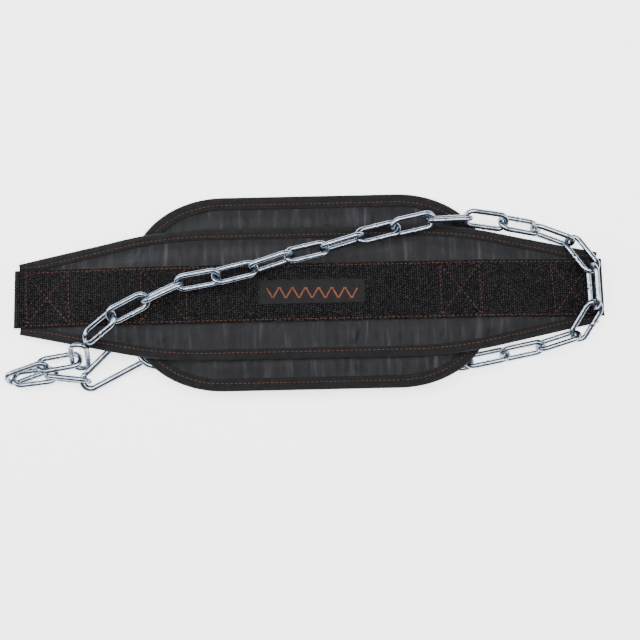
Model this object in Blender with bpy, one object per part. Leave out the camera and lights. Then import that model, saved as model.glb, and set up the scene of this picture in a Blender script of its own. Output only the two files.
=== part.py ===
"""Dip belt lying on a floor: two padded layers, a webbing strap, a steel chain and two snap clips.

Metres, +Z up, +X along the belt, +Y towards the belt's upper edge, floor at Z = 0.
"""
import math

import bmesh
import bpy
from mathutils import Matrix, Vector

# Clearances between neighbouring pieces
GAP = 0.0003
TAPE_GAP = 0.0005
LAYER_GAP = 0.0006
TAIL_GAP = 0.0010

# Cloth thicknesses
SEAM_THICKNESS = 0.003
PAD_THICKNESS = 0.008
TAPE_THICKNESS = 0.0012
WRAP = TAPE_GAP + TAPE_THICKNESS

# Back pad: rounded rectangle with elliptic corners
BACK_LENGTH = 0.332
BACK_HEIGHT = 0.180
BACK_CORNER_LONG = 0.084
BACK_CORNER_HIGH = 0.065
BACK_SHIFT = 0.002
BACK_RISE = 0.001
BACK_TAPE_LEG = 0.0103
BACK_CROWN_WIDTH = 0.020
BACK_SEAM_MARGIN = 0.005
BACK_CORNER_STEPS = 7
BACK_MIDDLE_STEPS = 8
BACK_INNER_ROWS = 2

# Belt pad: straight middle, a fillet, then a taper to each tip
BELT_LENGTH = 0.545
BELT_HEIGHT = 0.120
BELT_STRAIGHT_HALF = 0.093
BELT_FILLET_RADIUS = 0.410
BELT_TIP_HEIGHT = 0.0635
BELT_TAPE_LEG = 0.0085
BELT_CROWN_WIDTH = 0.016
BELT_SEAM_MARGIN = 0.001
BELT_UNDER_CROWN = 0.0014
BELT_FLAT_FROM = 0.200
BELT_FLAT_TO = 0.255
BELT_COLUMNS = 28

# Webbing strap folded back round both tips
WEB_WIDTH = 0.054
WEB_THICKNESS = 0.0022
WEB_REACH = 0.0065
WEB_TIP_LEAN = 0.035
WEB_LOOP_SWELL = 0.0009
WEB_TAIL = 0.064
WEB_FOLD_STEPS = 6

# Label patch on the webbing
LABEL_LENGTH = 0.098
LABEL_HEIGHT = 0.0228
LABEL_THICKNESS = 0.0008
LABEL_CENTRE = (0.0035, 0.0005)
LABEL_COLUMNS = 5

# How the belt drapes over the chain beneath it
RIDGE_HEIGHT = 0.0180
RIDGE_Y = -0.040
DRAPE_FLAT_LEFT = 0.195
DRAPE_END_LEFT = 0.285
DRAPE_FLAT_RIGHT = 0.175
DRAPE_END_RIGHT = 0.255
STEP_FROM = 0.150
STEP_TO = 0.205

# Chain link: welded long link
WIRE = 0.005
LINK_INSIDE = 0.035
LINK_WIDTH = 0.020
LINK_PLAY = 0.0004
LINK_END_STEPS = 6
LINK_WIRE_SIDES = 6
FLOOR_LINKS = 10
ROUTE_PASSES = 8
SETTLE_PASSES = 40

# Snap clip
CLIP_WIRE = 0.006
CLIP_CENTRES = 0.0508
CLIP_SMALL_RADIUS = 0.00785
CLIP_WIDE_RADIUS = 0.0155
CLIP_SMALL_STEPS = 6
CLIP_WIDE_STEPS = 9
RIVET_FROM_BEND = 0.0055
RIVET_RADIUS = 0.0011
HINGE_REACH = 0.0012
GATE_START = 0.0030
GATE_LENGTH = 0.0430
LATCH_GAP = 0.0005
TONGUE_THICKNESS = 0.0018
TONGUE_WIDTH = 0.0044
TONGUE_LENGTH = 0.0040
SLOT_DEPTH = 0.0065


def smooth(share):
    """Ease from 0 to 1 as share goes from 0 to 1."""
    share = min(1.0, max(0.0, share))
    return share * share * (3.0 - 2.0 * share)


# Plan outlines

def back_half_height(x):
    """Half height of the back pad at x, measured from its own middle."""
    corner_start = BACK_LENGTH / 2 - BACK_CORNER_LONG
    along = min(1.0, max(0.0, (abs(x - BACK_SHIFT) - corner_start) / BACK_CORNER_LONG))
    side = BACK_HEIGHT / 2 - BACK_CORNER_HIGH
    return side + BACK_CORNER_HIGH * math.sqrt(1.0 - along * along)


def belt_taper():
    """Angle of the taper that runs from the fillet to the tip's height."""
    run = BELT_LENGTH / 2 - BELT_STRAIGHT_HALF
    fall = (BELT_HEIGHT - BELT_TIP_HEIGHT) / 2
    across = 2.0 * BELT_FILLET_RADIUS - fall
    return 2.0 * math.atan((run - math.sqrt(run * run - across * fall)) / across)


def belt_half_height(x):
    """Half height of the belt pad at x."""
    past = abs(x) - BELT_STRAIGHT_HALF
    if past <= 0.0:
        return BELT_HEIGHT / 2
    taper = belt_taper()
    fillet = BELT_FILLET_RADIUS * math.sin(taper)
    bend = min(past, fillet)
    drop = BELT_FILLET_RADIUS - math.sqrt(BELT_FILLET_RADIUS ** 2 - bend ** 2)
    return BELT_HEIGHT / 2 - drop - max(0.0, past - fillet) * math.tan(taper)


# Heights: every layer follows one drape

def drape(x, y):
    """Height of the lowest layer above the floor, where the hidden chain lifts it."""
    flat, end = (DRAPE_FLAT_RIGHT, DRAPE_END_RIGHT) if x > 0.0 else (DRAPE_FLAT_LEFT, DRAPE_END_LEFT)
    across = (end - abs(x)) / (end - flat)
    edge = BACK_RISE + BACK_HEIGHT / 2
    along = (edge - y) / (edge - RIDGE_Y)
    return RIDGE_HEIGHT * smooth(across) * smooth(along)


def back_bottom(x, y):
    return drape(x, y) + WRAP


def back_inset(x, y):
    """Distance from a point of the back pad to its edge."""
    past_side = abs(x - BACK_SHIFT) - (BACK_LENGTH / 2 - BACK_CORNER_LONG)
    past_end = abs(y - BACK_RISE) - (BACK_HEIGHT / 2 - BACK_CORNER_HIGH)
    if past_side > 0.0 and past_end > 0.0:
        share = math.hypot(past_side / BACK_CORNER_LONG, past_end / BACK_CORNER_HIGH)
        return math.hypot(past_side, past_end) * (1.0 / share - 1.0)
    return min(BACK_CORNER_LONG - past_side, BACK_CORNER_HIGH - past_end)


def back_crown(x, y):
    """Share of the full padding at a point of the back pad."""
    return smooth((back_inset(x, y) - BACK_TAPE_LEG - BACK_SEAM_MARGIN) / BACK_CROWN_WIDTH)


def back_top(x, y):
    return back_bottom(x, y) + SEAM_THICKNESS + (PAD_THICKNESS - SEAM_THICKNESS) * back_crown(x, y)


def belt_lift(x):
    """Height of the belt's seam above the lowest layer: over the back pad, then down to the tips."""
    over_pad = PAD_THICKNESS + LAYER_GAP + WRAP
    over_tail = WEB_THICKNESS + BELT_UNDER_CROWN - WRAP + TAIL_GAP
    return over_tail + (over_pad - over_tail) * smooth((STEP_TO - abs(x)) / (STEP_TO - STEP_FROM))


def belt_crown(x, y):
    """Share of the full padding at a point of the belt pad."""
    inset = belt_half_height(x) - abs(y) - BELT_TAPE_LEG - BELT_SEAM_MARGIN
    tip = smooth((BELT_FLAT_TO - abs(x)) / (BELT_FLAT_TO - BELT_FLAT_FROM))
    return tip * smooth(inset / BELT_CROWN_WIDTH)


def belt_bottom(x, y):
    return drape(x, y) + WRAP + belt_lift(x) - BELT_UNDER_CROWN * belt_crown(x, y)


def belt_top(x, y):
    swell = PAD_THICKNESS - SEAM_THICKNESS
    return belt_bottom(x, y) + SEAM_THICKNESS + swell * belt_crown(x, y)


def across_web(height, x, y):
    """Height on a sheet whose rows lie on the webbing's middle and its two edges."""
    edge = math.copysign(WEB_WIDTH / 2, y)
    share = min(1.0, abs(y) / (WEB_WIDTH / 2))
    return height(x, 0.0) * (1.0 - share) + height(x, edge) * share


def web_top(x, y):
    return across_web(belt_top, x, y) + GAP + WEB_THICKNESS


def surface_height(x, y):
    """Highest cloth surface at a point, or the floor."""
    height = 0.0
    if abs(x - BACK_SHIFT) <= BACK_LENGTH / 2 + WRAP and abs(y - BACK_RISE) <= back_half_height(x) + WRAP:
        height = back_top(x, y) + WRAP
    if abs(x) <= BELT_LENGTH / 2 and abs(y) <= belt_half_height(x) + WRAP:
        height = belt_top(x, y) + WRAP
    if abs(x) <= BELT_LENGTH / 2 + WEB_REACH and abs(y) <= WEB_WIDTH / 2:
        inside = max(-BELT_LENGTH / 2, min(BELT_LENGTH / 2, x))
        height = web_top(inside, y) + WEB_LOOP_SWELL
    return height


# Helpers that make objects

def make_material(name, colour, roughness, metallic=0.0):
    material = bpy.data.materials.new(name)
    material.use_nodes = True
    shader = material.node_tree.nodes["Principled BSDF"]
    shader.inputs["Base Color"].default_value = (*colour, 1.0)
    shader.inputs["Roughness"].default_value = roughness
    shader.inputs["Metallic"].default_value = metallic
    return material


def add_object(name, data, material, parent):
    made = bpy.data.objects.new(name, data)
    PARTS.objects.link(made)
    data.materials.append(material)
    made.parent = parent
    return made


def finish_mesh(name, bm, material, parent):
    """Turn a bmesh into a closed object whose faces point out."""
    bmesh.ops.recalc_face_normals(bm, faces=bm.faces[:])
    mesh = bpy.data.meshes.new(name)
    bm.to_mesh(mesh)
    bm.free()
    return add_object(name, mesh, material, parent)


def slab(name, columns, rows_at, bottom, top, material, parent):
    """A padded sheet: a grid laid out by columns and rows, extruded from its bottom to its top."""
    row_count = len(rows_at(columns[0]))
    bm = bmesh.new()
    bmesh.ops.create_grid(bm, x_segments=len(columns) - 1, y_segments=row_count - 1, size=1.0)
    for vertex in bm.verts:
        column = round((vertex.co.x + 1.0) / 2.0 * (len(columns) - 1))
        row = round((vertex.co.y + 1.0) / 2.0 * (row_count - 1))
        x = columns[column]
        y = rows_at(x)[row]
        vertex.co = (x, y, bottom(x, y))
    lower = bm.faces[:]
    made = bmesh.ops.extrude_face_region(bm, geom=lower, use_keep_orig=True)
    for vertex in [item for item in made["geom"] if isinstance(item, bmesh.types.BMVert)]:
        vertex.co.z = top(vertex.co.x, vertex.co.y)
    return finish_mesh(name, bm, material, parent)


def loft(name, sections, caps, material, parent):
    """A solid through sections of equally many points, with end caps, or a closed ring without."""
    bm = bmesh.new()
    rings = [[bm.verts.new(point) for point in section] for section in sections]
    pairs = list(zip(rings, rings[1:]))
    if not caps:
        pairs.append((rings[-1], rings[0]))
    for before, after in pairs:
        for index in range(len(before)):
            following = (index + 1) % len(before)
            bm.faces.new((before[index], before[following], after[following], after[index]))
    for ring in (rings[0], rings[-1]):
        for cap in caps:
            bm.faces.new([ring[index] for index in cap])
    return finish_mesh(name, bm, material, parent)


def mirrored(shares):
    """The same values with both signs, in rising order, for shares that fall to the last."""
    return [-share for share in shares] + [share for share in reversed(shares) if share > 0.0]


# Back pad

def back_columns():
    corner_start = BACK_LENGTH / 2 - BACK_CORNER_LONG
    corner = []
    for step in range(BACK_CORNER_STEPS, 0, -1):
        turn = math.pi / 2 * step / BACK_CORNER_STEPS
        corner.append(corner_start + BACK_CORNER_LONG * math.sin(turn))
    middle = [corner_start * (1 - 2 * step / BACK_MIDDLE_STEPS) for step in range(BACK_MIDDLE_STEPS // 2 + 1)]
    return [BACK_SHIFT + x for x in mirrored(corner + middle)]


def back_rows(x):
    half = back_half_height(x)
    scale = min(1.0, half / (BACK_HEIGHT / 4))
    inner = BACK_TAPE_LEG + BACK_SEAM_MARGIN
    insets = [0.0, inner, inner + BACK_CROWN_WIDTH / 2, inner + BACK_CROWN_WIDTH]
    edges = [half - scale * inset for inset in insets]
    spread = [edges[-1] * (1 - step / BACK_INNER_ROWS) for step in range(1, BACK_INNER_ROWS + 1)]
    return [BACK_RISE + y for y in mirrored(edges + spread)]


def seam_path(points):
    """Each point of a closed path with its outward mitre; the cloth lies on the path's left."""
    result = []
    for index, point in enumerate(points):
        normals = []
        for start, end in ((points[index - 1], point), (point, points[(index + 1) % len(points)])):
            along = Vector((end[0] - start[0], end[1] - start[1])).normalized()
            normals.append(Vector((along.y, -along.x)))
        outward = (normals[0] + normals[1]).normalized()
        result.append((Vector(point), outward / outward.dot(normals[0])))
    return result


# Faces that close the end of a tape: its ten section points taken in fours and threes
TAPE_CAPS = ((0, 1, 8, 9), (1, 2, 8), (2, 3, 7, 8), (3, 4, 7), (4, 5, 6, 7))


def tape(name, stations, closed, leg_at, middle_at, material, parent):
    """Binding tape: a C folded round a seam, its legs lying on the cloth."""
    half_seam = SEAM_THICKNESS / 2
    sections = []
    for point, outward in stations:
        leg = leg_at(point)
        outer = half_seam + WRAP
        inner = half_seam + TAPE_GAP
        profile = [
            (-leg, outer), (WRAP - TAPE_THICKNESS / 2, outer), (WRAP, half_seam),
            (WRAP, -half_seam), (WRAP - TAPE_THICKNESS / 2, -outer), (-leg, -outer),
            (-leg, -inner), (TAPE_GAP, -inner), (TAPE_GAP, inner), (-leg, inner),
        ]
        section = []
        for reach, rise in profile:
            x = point.x + outward.x * reach
            y = point.y + outward.y * reach
            section.append((x, y, middle_at(x, y) + rise))
        sections.append(section)
    return loft(name, sections, () if closed else TAPE_CAPS, material, parent)


def back_middle(x, y):
    return back_bottom(x, y) + SEAM_THICKNESS / 2


def make_back_pad(parent):
    columns = back_columns()
    slab("back_pad", columns, back_rows, back_bottom, back_top, NYLON, parent)
    lower = [(x, BACK_RISE - back_half_height(x)) for x in columns]
    upper = [(x, BACK_RISE + back_half_height(x)) for x in reversed(columns)]
    right = [(columns[-1], y) for y in back_rows(columns[-1])[1:-1]]
    left = [(columns[0], y) for y in reversed(back_rows(columns[0])[1:-1])]
    path = seam_path(lower + right + upper + left)
    tape("back_pad_binding", path, True, lambda point: BACK_TAPE_LEG, back_middle, TAPE, parent)


# Belt pad

def belt_columns():
    half = BELT_LENGTH / 2
    return [-half + BELT_LENGTH * step / BELT_COLUMNS for step in range(BELT_COLUMNS + 1)]


def belt_rows(x):
    half = belt_half_height(x)
    web_edge = WEB_WIDTH / 2
    inner = max(half - BELT_TAPE_LEG - BELT_SEAM_MARGIN, web_edge + (half - web_edge) * 0.4)
    return mirrored([half, inner, web_edge + (inner - web_edge) * 0.5, web_edge, 0.0])


def belt_middle(x, y):
    return drape(x, y) + WRAP + belt_lift(x) + SEAM_THICKNESS / 2


def belt_leg(point):
    """The tape's leg stops short of the webbing where the belt is narrow."""
    room = belt_half_height(point.x) - WEB_WIDTH / 2 - LAYER_GAP
    return min(BELT_TAPE_LEG, room)


def make_belt_pad(parent):
    columns = belt_columns()
    slab("belt_pad", columns, belt_rows, belt_bottom, belt_top, NYLON, parent)
    for name, side in (("belt_binding_lower", -1), ("belt_binding_upper", 1)):
        stations = [(Vector((x, side * belt_half_height(x))), Vector((0.0, side))) for x in columns]
        tape(name, stations, False, belt_leg, belt_middle, TAPE, parent)


# Webbing strap and label

def web_fold(side, y):
    """Inner and outer points of the fold round one tip, from the upper run to the tail."""
    tip = BELT_LENGTH / 2
    above = belt_top(side * tip, y) + GAP
    below = belt_bottom(side * tip, y) - TAIL_GAP
    middle = (above + below) / 2
    inner_rise = (above - below) / 2 + WEB_LOOP_SWELL
    reach = WEB_REACH - WEB_THICKNESS - WEB_TIP_LEAN * (y + WEB_WIDTH / 2)
    points = []
    for step in range(WEB_FOLD_STEPS + 1):
        turn = math.pi / 2 - math.pi * step / WEB_FOLD_STEPS
        for thickness in (0.0, WEB_THICKNESS):
            x = tip + (reach + thickness) * math.cos(turn)
            z = middle + (inner_rise + thickness) * math.sin(turn)
            points.append((side * x, z))
    return points


def between_columns(height, columns, x, y):
    """Height on a sheet that runs straight from one of its columns to the next."""
    for before, after in zip(columns, columns[1:]):
        if before <= x <= after:
            share = (x - before) / (after - before)
            return height(before, y) * (1 - share) + height(after, y) * share
    return height(x, y)


def make_webbing(parent):
    rows = [-WEB_WIDTH / 2, 0.0, WEB_WIDTH / 2]
    columns = belt_columns()
    tip = BELT_LENGTH / 2
    tail_start = tip - WEB_TAIL
    tail_columns = [tail_start] + [x for x in columns if tail_start + LAYER_GAP < x]
    front_columns = columns[1:-1]
    strips = []
    for y in rows:
        inner_side = []
        outer_side = []
        for side in (1, -1):
            tail = []
            for x in reversed(tail_columns):
                level = between_columns(belt_bottom, columns, side * x, y) - TAIL_GAP
                tail.append(((side * x, level), (side * x, level - WEB_THICKNESS)))
            fold = web_fold(side, y)
            pairs = list(zip(fold[0::2], fold[1::2])) + tail
            if side == 1:
                front = [((x, web_top(x, y) - WEB_THICKNESS), (x, web_top(x, y))) for x in front_columns]
                pairs = front + pairs
            else:
                pairs.reverse()
            inner_side.append([pair[0] for pair in pairs])
            outer_side.append([pair[1] for pair in pairs])
        inner = inner_side[1] + inner_side[0]
        outer = outer_side[1] + outer_side[0]
        strips.append((y, inner, outer))
    sections = []
    for station in range(len(strips[0][1])):
        inner = [(strip[1][station][0], strip[0], strip[1][station][1]) for strip in strips]
        outer = [(strip[2][station][0], strip[0], strip[2][station][1]) for strip in strips]
        sections.append(inner + outer[::-1])
    loft("webbing_strap", sections, ((0, 1, 4, 5), (1, 2, 3, 4)), WEBBING, parent)


def make_label(parent):
    centre_x, centre_y = LABEL_CENTRE
    columns = [centre_x + LABEL_LENGTH * (step / LABEL_COLUMNS - 0.5) for step in range(LABEL_COLUMNS + 1)]

    def rows(x):
        return [centre_y - LABEL_HEIGHT / 2, 0.0, centre_y + LABEL_HEIGHT / 2]

    def bottom(x, y):
        return web_top(x, y) + GAP

    def top(x, y):
        return bottom(x, y) + LABEL_THICKNESS

    slab("label_patch", columns, rows, bottom, top, LABEL, parent)


# Chain

# Crossings of neighbouring links along the route, chosen by hand: x and y in metres.
# It runs from the second clip under the back pad, out at the lower right, round the right tip
# and back across the front to the lower left edge.
ROUTE = (
    (-0.0927, -0.0685), (-0.0580, -0.0700), (-0.0235, -0.0690), (0.0110, -0.0675), (0.0455, -0.0665),
    (0.0800, -0.0665), (0.1150, -0.0675), (0.1496, -0.0675), (0.1834, -0.0612), (0.2165, -0.0550),
    (0.2515, -0.0445), (0.2690, -0.0120), (0.2640, 0.0243), (0.2410, 0.0510), (0.2057, 0.0585),
    (0.1713, 0.0630), (0.1400, 0.0675), (0.1094, 0.0650), (0.0750, 0.0565), (0.0424, 0.0486),
    (0.0096, 0.0387), (-0.0232, 0.0318), (-0.0548, 0.0213), (-0.0893, 0.0139), (-0.1238, 0.0085),
    (-0.1554, -0.0078), (-0.1861, -0.0225), (-0.2170, -0.0465), (-0.2300, -0.0560),
)
# Height of the first crossing, in the second clip's small bend
START_HEIGHT = 0.0095
# Turn of each route link about its own length, in degrees from lying flat
ROUTE_ROLL = (
    55, -36, 36, -36, 36, -36, 36,
    -49, 49, -65, 18, -70, 20, -66, 39, -32, 78, -30, 34, -75, 38, -62, 32, -38, 75, -32, 36,
)

# The pile past the lower left edge: each link's middle in metres, then its heading, climb
# and turn about its own length in degrees
PILE = (
    # x, y, z, heading, climb, roll
    (-0.2151, -0.0551, 0.0194, -98.0, -57.5, -4.0),
    (-0.2360, -0.0600, 0.0108, -171.3, 4.0, 37.0),
    (-0.2660, -0.0694, 0.0109, -162.0, -6.8, -50.0),
    (-0.2591, -0.0731, 0.0074, 5.9, -3.3, -33.0),
    (-0.2277, -0.0756, 0.0102, -7.3, 0.8, 83.0),
)


def link_curve():
    """A stadium of round wire, long along X and flat in the XY plane."""
    radius = (LINK_WIDTH - WIRE) / 2
    bend = LINK_INSIDE / 2 + WIRE / 2 - radius
    curve = bpy.data.curves.new("chain_link", "CURVE")
    curve.dimensions = "3D"
    curve.bevel_depth = WIRE / 2
    curve.bevel_resolution = LINK_WIRE_SIDES // 2 - 2
    spline = curve.splines.new("POLY")
    points = []
    for side in (1, -1):
        for step in range(LINK_END_STEPS + 1):
            turn = -math.pi / 2 + math.pi * step / LINK_END_STEPS
            points.append((side * (bend + radius * math.cos(turn)), side * radius * math.sin(turn)))
    spline.points.add(len(points) - 1)
    for point, (x, y) in zip(spline.points, points):
        point.co = (x, y, 0.0, 1.0)
    spline.use_cyclic_u = True
    return curve


def link_matrix(start, end, roll, reach, pull=Vector()):
    """Pose of a link whose first end wire lies its reach before the first crossing.

    Where the chain bends, its neighbours pull the link sideways in its own plane.
    """
    along = (end - start).normalized()
    side = Vector((0.0, 0.0, 1.0)).cross(along).normalized()
    up = along.cross(side)
    turn = math.radians(roll)
    across = side * math.cos(turn) + up * math.sin(turn)
    normal = along.cross(across)
    rotation = Matrix((along, across, normal)).transposed().to_4x4()
    centre = start + along * ((LINK_INSIDE + WIRE) / 2 - reach) + across * pull.dot(across)
    return Matrix.Translation(centre) @ rotation


def needed_height(x, y, covered):
    """Height that the wire's middle needs at a point, over cloth or floor."""
    if covered:
        return WIRE / 2
    reach = WIRE / 2
    ring = [(0, 0), (reach, 0), (-reach, 0), (0, reach), (0, -reach)]
    return max(surface_height(x + dx, y + dy) for dx, dy in ring) + WIRE / 2 + GAP


def joint_reaches(joints):
    """How far each end wire's middle lies past its crossing: more where the chain bends."""
    ways = [(end - start).normalized() for start, end in zip(joints, joints[1:])]
    reaches = [WIRE / 2 + LINK_PLAY / 2]
    for before, after in zip(ways, ways[1:]):
        reaches.append((WIRE + LINK_PLAY) / (1.0 + before.dot(after)))
    reaches.append(reaches[0])
    return reaches


def route_joints():
    """Crossings along the chain, raised until every link clears what it lies on."""
    plan = [Vector((x, y, 0.0)) for x, y in ROUTE]
    joints = plan
    for attempt in range(ROUTE_PASSES):
        joints = march(plan, joints, joint_reaches(joints))
        for joint, height in zip(joints, settle(joints)):
            joint.z = height
    return joints, joint_reaches(joints)


def march(plan, before, reaches):
    """Walk along the plan route, one link at a time, each link as long as the real one."""
    joints = [plan[0].copy()]
    segment = 0
    for index in range(len(ROUTE_ROLL)):
        rise = before[index + 1].z - before[index].z
        length = LINK_INSIDE + WIRE - reaches[index] - reaches[index + 1]
        reach = math.sqrt(max(length * length - rise * rise, WIRE * WIRE))
        here = joints[-1]
        while segment < len(plan) - 2 and (plan[segment + 1] - here).length < reach:
            segment += 1
        start = plan[segment]
        along = (plan[segment + 1] - start).normalized()
        offset = start - here
        back = offset.dot(along)
        distance = -back + math.sqrt(max(0.0, back * back - offset.length_squared + reach * reach))
        joints.append(start + along * distance)
    return joints


def settle(joints):
    """Lowest heights of the crossings at which no link cuts the surface below it."""
    radius = (LINK_WIDTH - WIRE) / 2
    straight = LINK_INSIDE / 2 + WIRE / 2 - radius
    heights = [START_HEIGHT] + [WIRE / 2] * (len(joints) - 1)
    for attempt in range(SETTLE_PASSES):
        for index, roll in enumerate(ROUTE_ROLL):
            covered = index < FLOOR_LINKS
            start = joints[index]
            end = joints[index + 1]
            along = Vector((end.x - start.x, end.y - start.y)).normalized()
            side = Vector((-along.y, along.x))
            turn = math.radians(roll)
            lack_start = 0.0
            lack_end = 0.0
            for share in (-1.0, -0.75, -0.5, -0.25, 0.0, 0.25, 0.5, 0.75, 1.0):
                for leg in (-1.0, 0.0, 1.0):
                    reach = share * straight if leg else math.copysign(straight + radius, share)
                    place = (start + end).xy / 2 + along * reach + side * (leg * radius * math.cos(turn))
                    mix = 0.5 + reach / (LINK_INSIDE + WIRE)
                    level = heights[index] * (1 - mix) + heights[index + 1] * mix
                    level += leg * radius * math.sin(turn)
                    lack = needed_height(place.x, place.y, covered) - level
                    if lack > 0.0:
                        lack_start = max(lack_start, lack * (1 - mix))
                        lack_end = max(lack_end, lack * mix)
            if index > 0:
                heights[index] += lack_start
            heights[index + 1] += lack_end
    return heights


def make_chain(parent):
    curve = link_curve()
    joints, reaches = route_joints()
    ways = [(end - start).normalized() for start, end in zip(joints, joints[1:])]
    poses = []
    for index, roll in enumerate(ROUTE_ROLL):
        before = ways[max(0, index - 1)] * reaches[index]
        after = ways[min(len(ways) - 1, index + 1)] * reaches[index + 1]
        start, end = joints[index:index + 2]
        poses.append(link_matrix(start, end, roll, reaches[index], (before - after) / 2))
    for x, y, z, heading, climb, roll in PILE:
        turn = math.radians(heading)
        slope = math.radians(climb)
        way = Vector((math.cos(turn) * math.cos(slope), math.sin(turn) * math.cos(slope), math.sin(slope)))
        half = way * (LINK_INSIDE + WIRE) / 2
        middle = Vector((x, y, z))
        poses.append(link_matrix(middle - half, middle + half, roll, 0.0))
    curve.materials.append(STEEL)
    for number, pose in enumerate(poses, start=1):
        link = bpy.data.objects.new(f"chain_link_{number:02d}", curve)
        PARTS.objects.link(link)
        link.parent = parent
        link.matrix_local = pose


# Snap clips, drawn in their own plane: X from the small bend to the wide one, gate at +Y

def clip_side():
    """Slope of the clip's sides and the length of a side between its two bends."""
    slope = math.asin((CLIP_WIDE_RADIUS - CLIP_SMALL_RADIUS) / CLIP_CENTRES)
    return slope, CLIP_CENTRES * math.cos(slope)


def gate_frame():
    """Pose of the gate's line: X along the gate from the small bend, Z normal to the clip."""
    slope, length = clip_side()
    start = Vector((-CLIP_SMALL_RADIUS * math.sin(slope), CLIP_SMALL_RADIUS * math.cos(slope), 0.0))
    return Matrix.Translation(start) @ Matrix.Rotation(slope, 4, "Z")


def clip_wire_points():
    """Middle line of the body's wire, from the latch round the wide bend to the hinge."""
    slope, length = clip_side()
    frame = gate_frame()
    points = [frame @ Vector((GATE_START + GATE_LENGTH + LATCH_GAP, 0.0, 0.0))]
    for step in range(CLIP_WIDE_STEPS + 1):
        turn = math.pi / 2 + slope - (math.pi + 2 * slope) * step / CLIP_WIDE_STEPS
        points.append(Vector((
            CLIP_CENTRES + CLIP_WIDE_RADIUS * math.cos(turn),
            CLIP_WIDE_RADIUS * math.sin(turn), 0.0)))
    for step in range(CLIP_SMALL_STEPS + 1):
        turn = -math.pi / 2 - slope - (math.pi - 2 * slope) * step / CLIP_SMALL_STEPS
        points.append(Vector((
            CLIP_SMALL_RADIUS * math.cos(turn), CLIP_SMALL_RADIUS * math.sin(turn), 0.0)))
    points.append(frame @ Vector((HINGE_REACH, 0.0, 0.0)))
    return points


def rod_mesh(name, points, radius):
    """A closed mesh of a wire along straight pieces between points."""
    curve = bpy.data.curves.new(name, "CURVE")
    curve.dimensions = "3D"
    curve.bevel_depth = radius
    curve.bevel_resolution = 2
    curve.use_fill_caps = True
    spline = curve.splines.new("POLY")
    spline.points.add(len(points) - 1)
    for point, place in zip(spline.points, points):
        point.co = (*place, 1.0)
    source = bpy.data.objects.new(name, curve)
    PARTS.objects.link(source)
    depsgraph = bpy.context.evaluated_depsgraph_get()
    mesh = bpy.data.meshes.new_from_object(source.evaluated_get(depsgraph))
    bpy.data.objects.remove(source)
    bm = bmesh.new()
    bm.from_mesh(mesh)
    bmesh.ops.remove_doubles(bm, verts=bm.verts[:], dist=0.00001)
    bmesh.ops.recalc_face_normals(bm, faces=bm.faces[:])
    bm.to_mesh(mesh)
    bm.free()
    return mesh


def add_cutter(name, parent, matrix, radius=None, size=None, length=None):
    """A box or a cylinder that a Boolean reads; the build leaves it out."""
    bm = bmesh.new()
    if size is not None:
        bmesh.ops.create_cube(bm, size=1.0, matrix=Matrix.Diagonal((*size, 1.0)))
    else:
        bmesh.ops.create_cone(
            bm, cap_ends=True, segments=12, radius1=radius, radius2=radius, depth=length)
    mesh = bpy.data.meshes.new(name)
    bm.to_mesh(mesh)
    bm.free()
    cutter = bpy.data.objects.new(name, mesh)
    CUTTERS.objects.link(cutter)
    cutter.parent = parent
    cutter.matrix_local = matrix
    cutter.hide_render = True
    cutter.display_type = "WIRE"
    return cutter


def combine(target, tool, operation):
    modifier = target.modifiers.new(tool.name, "BOOLEAN")
    modifier.operation = operation
    modifier.solver = "EXACT"
    modifier.object = tool


def make_clip(number, pose, parent):
    """One snap clip: its body with two tongues and the rivet, and the gate that turns on it."""
    frame_holder = bpy.data.objects.new(f"clip_{number}_frame", None)
    PARTS.objects.link(frame_holder)
    frame_holder.parent = parent
    frame_holder.matrix_local = pose
    line = gate_frame()
    gate_end = GATE_START + GATE_LENGTH

    body_mesh = rod_mesh(f"clip_{number}_body", clip_wire_points(), CLIP_WIRE / 2)
    body = add_object(f"clip_{number}_body", body_mesh, STEEL, frame_holder)
    hinge_length = RIVET_FROM_BEND + TONGUE_WIDTH / 2 - HINGE_REACH + WIRE / 4
    hinge_middle = HINGE_REACH - WIRE / 4 + hinge_length / 2
    tongue = add_cutter(
        f"clip_{number}_hinge_tongue", frame_holder, line @ Matrix.Translation((hinge_middle, 0, 0)),
        size=(hinge_length, TONGUE_WIDTH, TONGUE_THICKNESS))
    combine(body, tongue, "UNION")
    latch_length = TONGUE_LENGTH + LATCH_GAP + WIRE / 4
    latch_middle = gate_end + LATCH_GAP + WIRE / 4 - latch_length / 2
    latch = add_cutter(
        f"clip_{number}_latch_tongue", frame_holder, line @ Matrix.Translation((latch_middle, 0, 0)),
        size=(latch_length, TONGUE_WIDTH, TONGUE_THICKNESS))
    combine(body, latch, "UNION")
    rivet = add_cutter(
        f"clip_{number}_rivet", frame_holder, line @ Matrix.Translation((RIVET_FROM_BEND, 0, 0)),
        radius=RIVET_RADIUS, length=CLIP_WIRE + WIRE / 10)
    combine(body, rivet, "UNION")

    # The gate's origin is on the rivet's axis
    hinge = line @ Matrix.Translation((RIVET_FROM_BEND, 0, 0))
    rod_points = [(GATE_START - RIVET_FROM_BEND, 0, 0), (gate_end - RIVET_FROM_BEND, 0, 0)]
    gate_mesh = rod_mesh(f"clip_{number}_gate", rod_points, CLIP_WIRE / 2)
    gate = add_object(f"clip_{number}_gate", gate_mesh, STEEL, frame_holder)
    gate.matrix_local = hinge
    slot_size = (SLOT_DEPTH * 2, CLIP_WIRE * 2, TONGUE_THICKNESS + 2 * GAP)
    for end, place in (("hinge", GATE_START), ("latch", gate_end)):
        slot = add_cutter(
            f"clip_{number}_{end}_slot", frame_holder, line @ Matrix.Translation((place, 0, 0)),
            size=slot_size)
        combine(gate, slot, "DIFFERENCE")
    hole = add_cutter(
        f"clip_{number}_rivet_hole", frame_holder, hinge,
        radius=RIVET_RADIUS + GAP, length=CLIP_WIRE * 2)
    combine(gate, hole, "DIFFERENCE")


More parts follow.
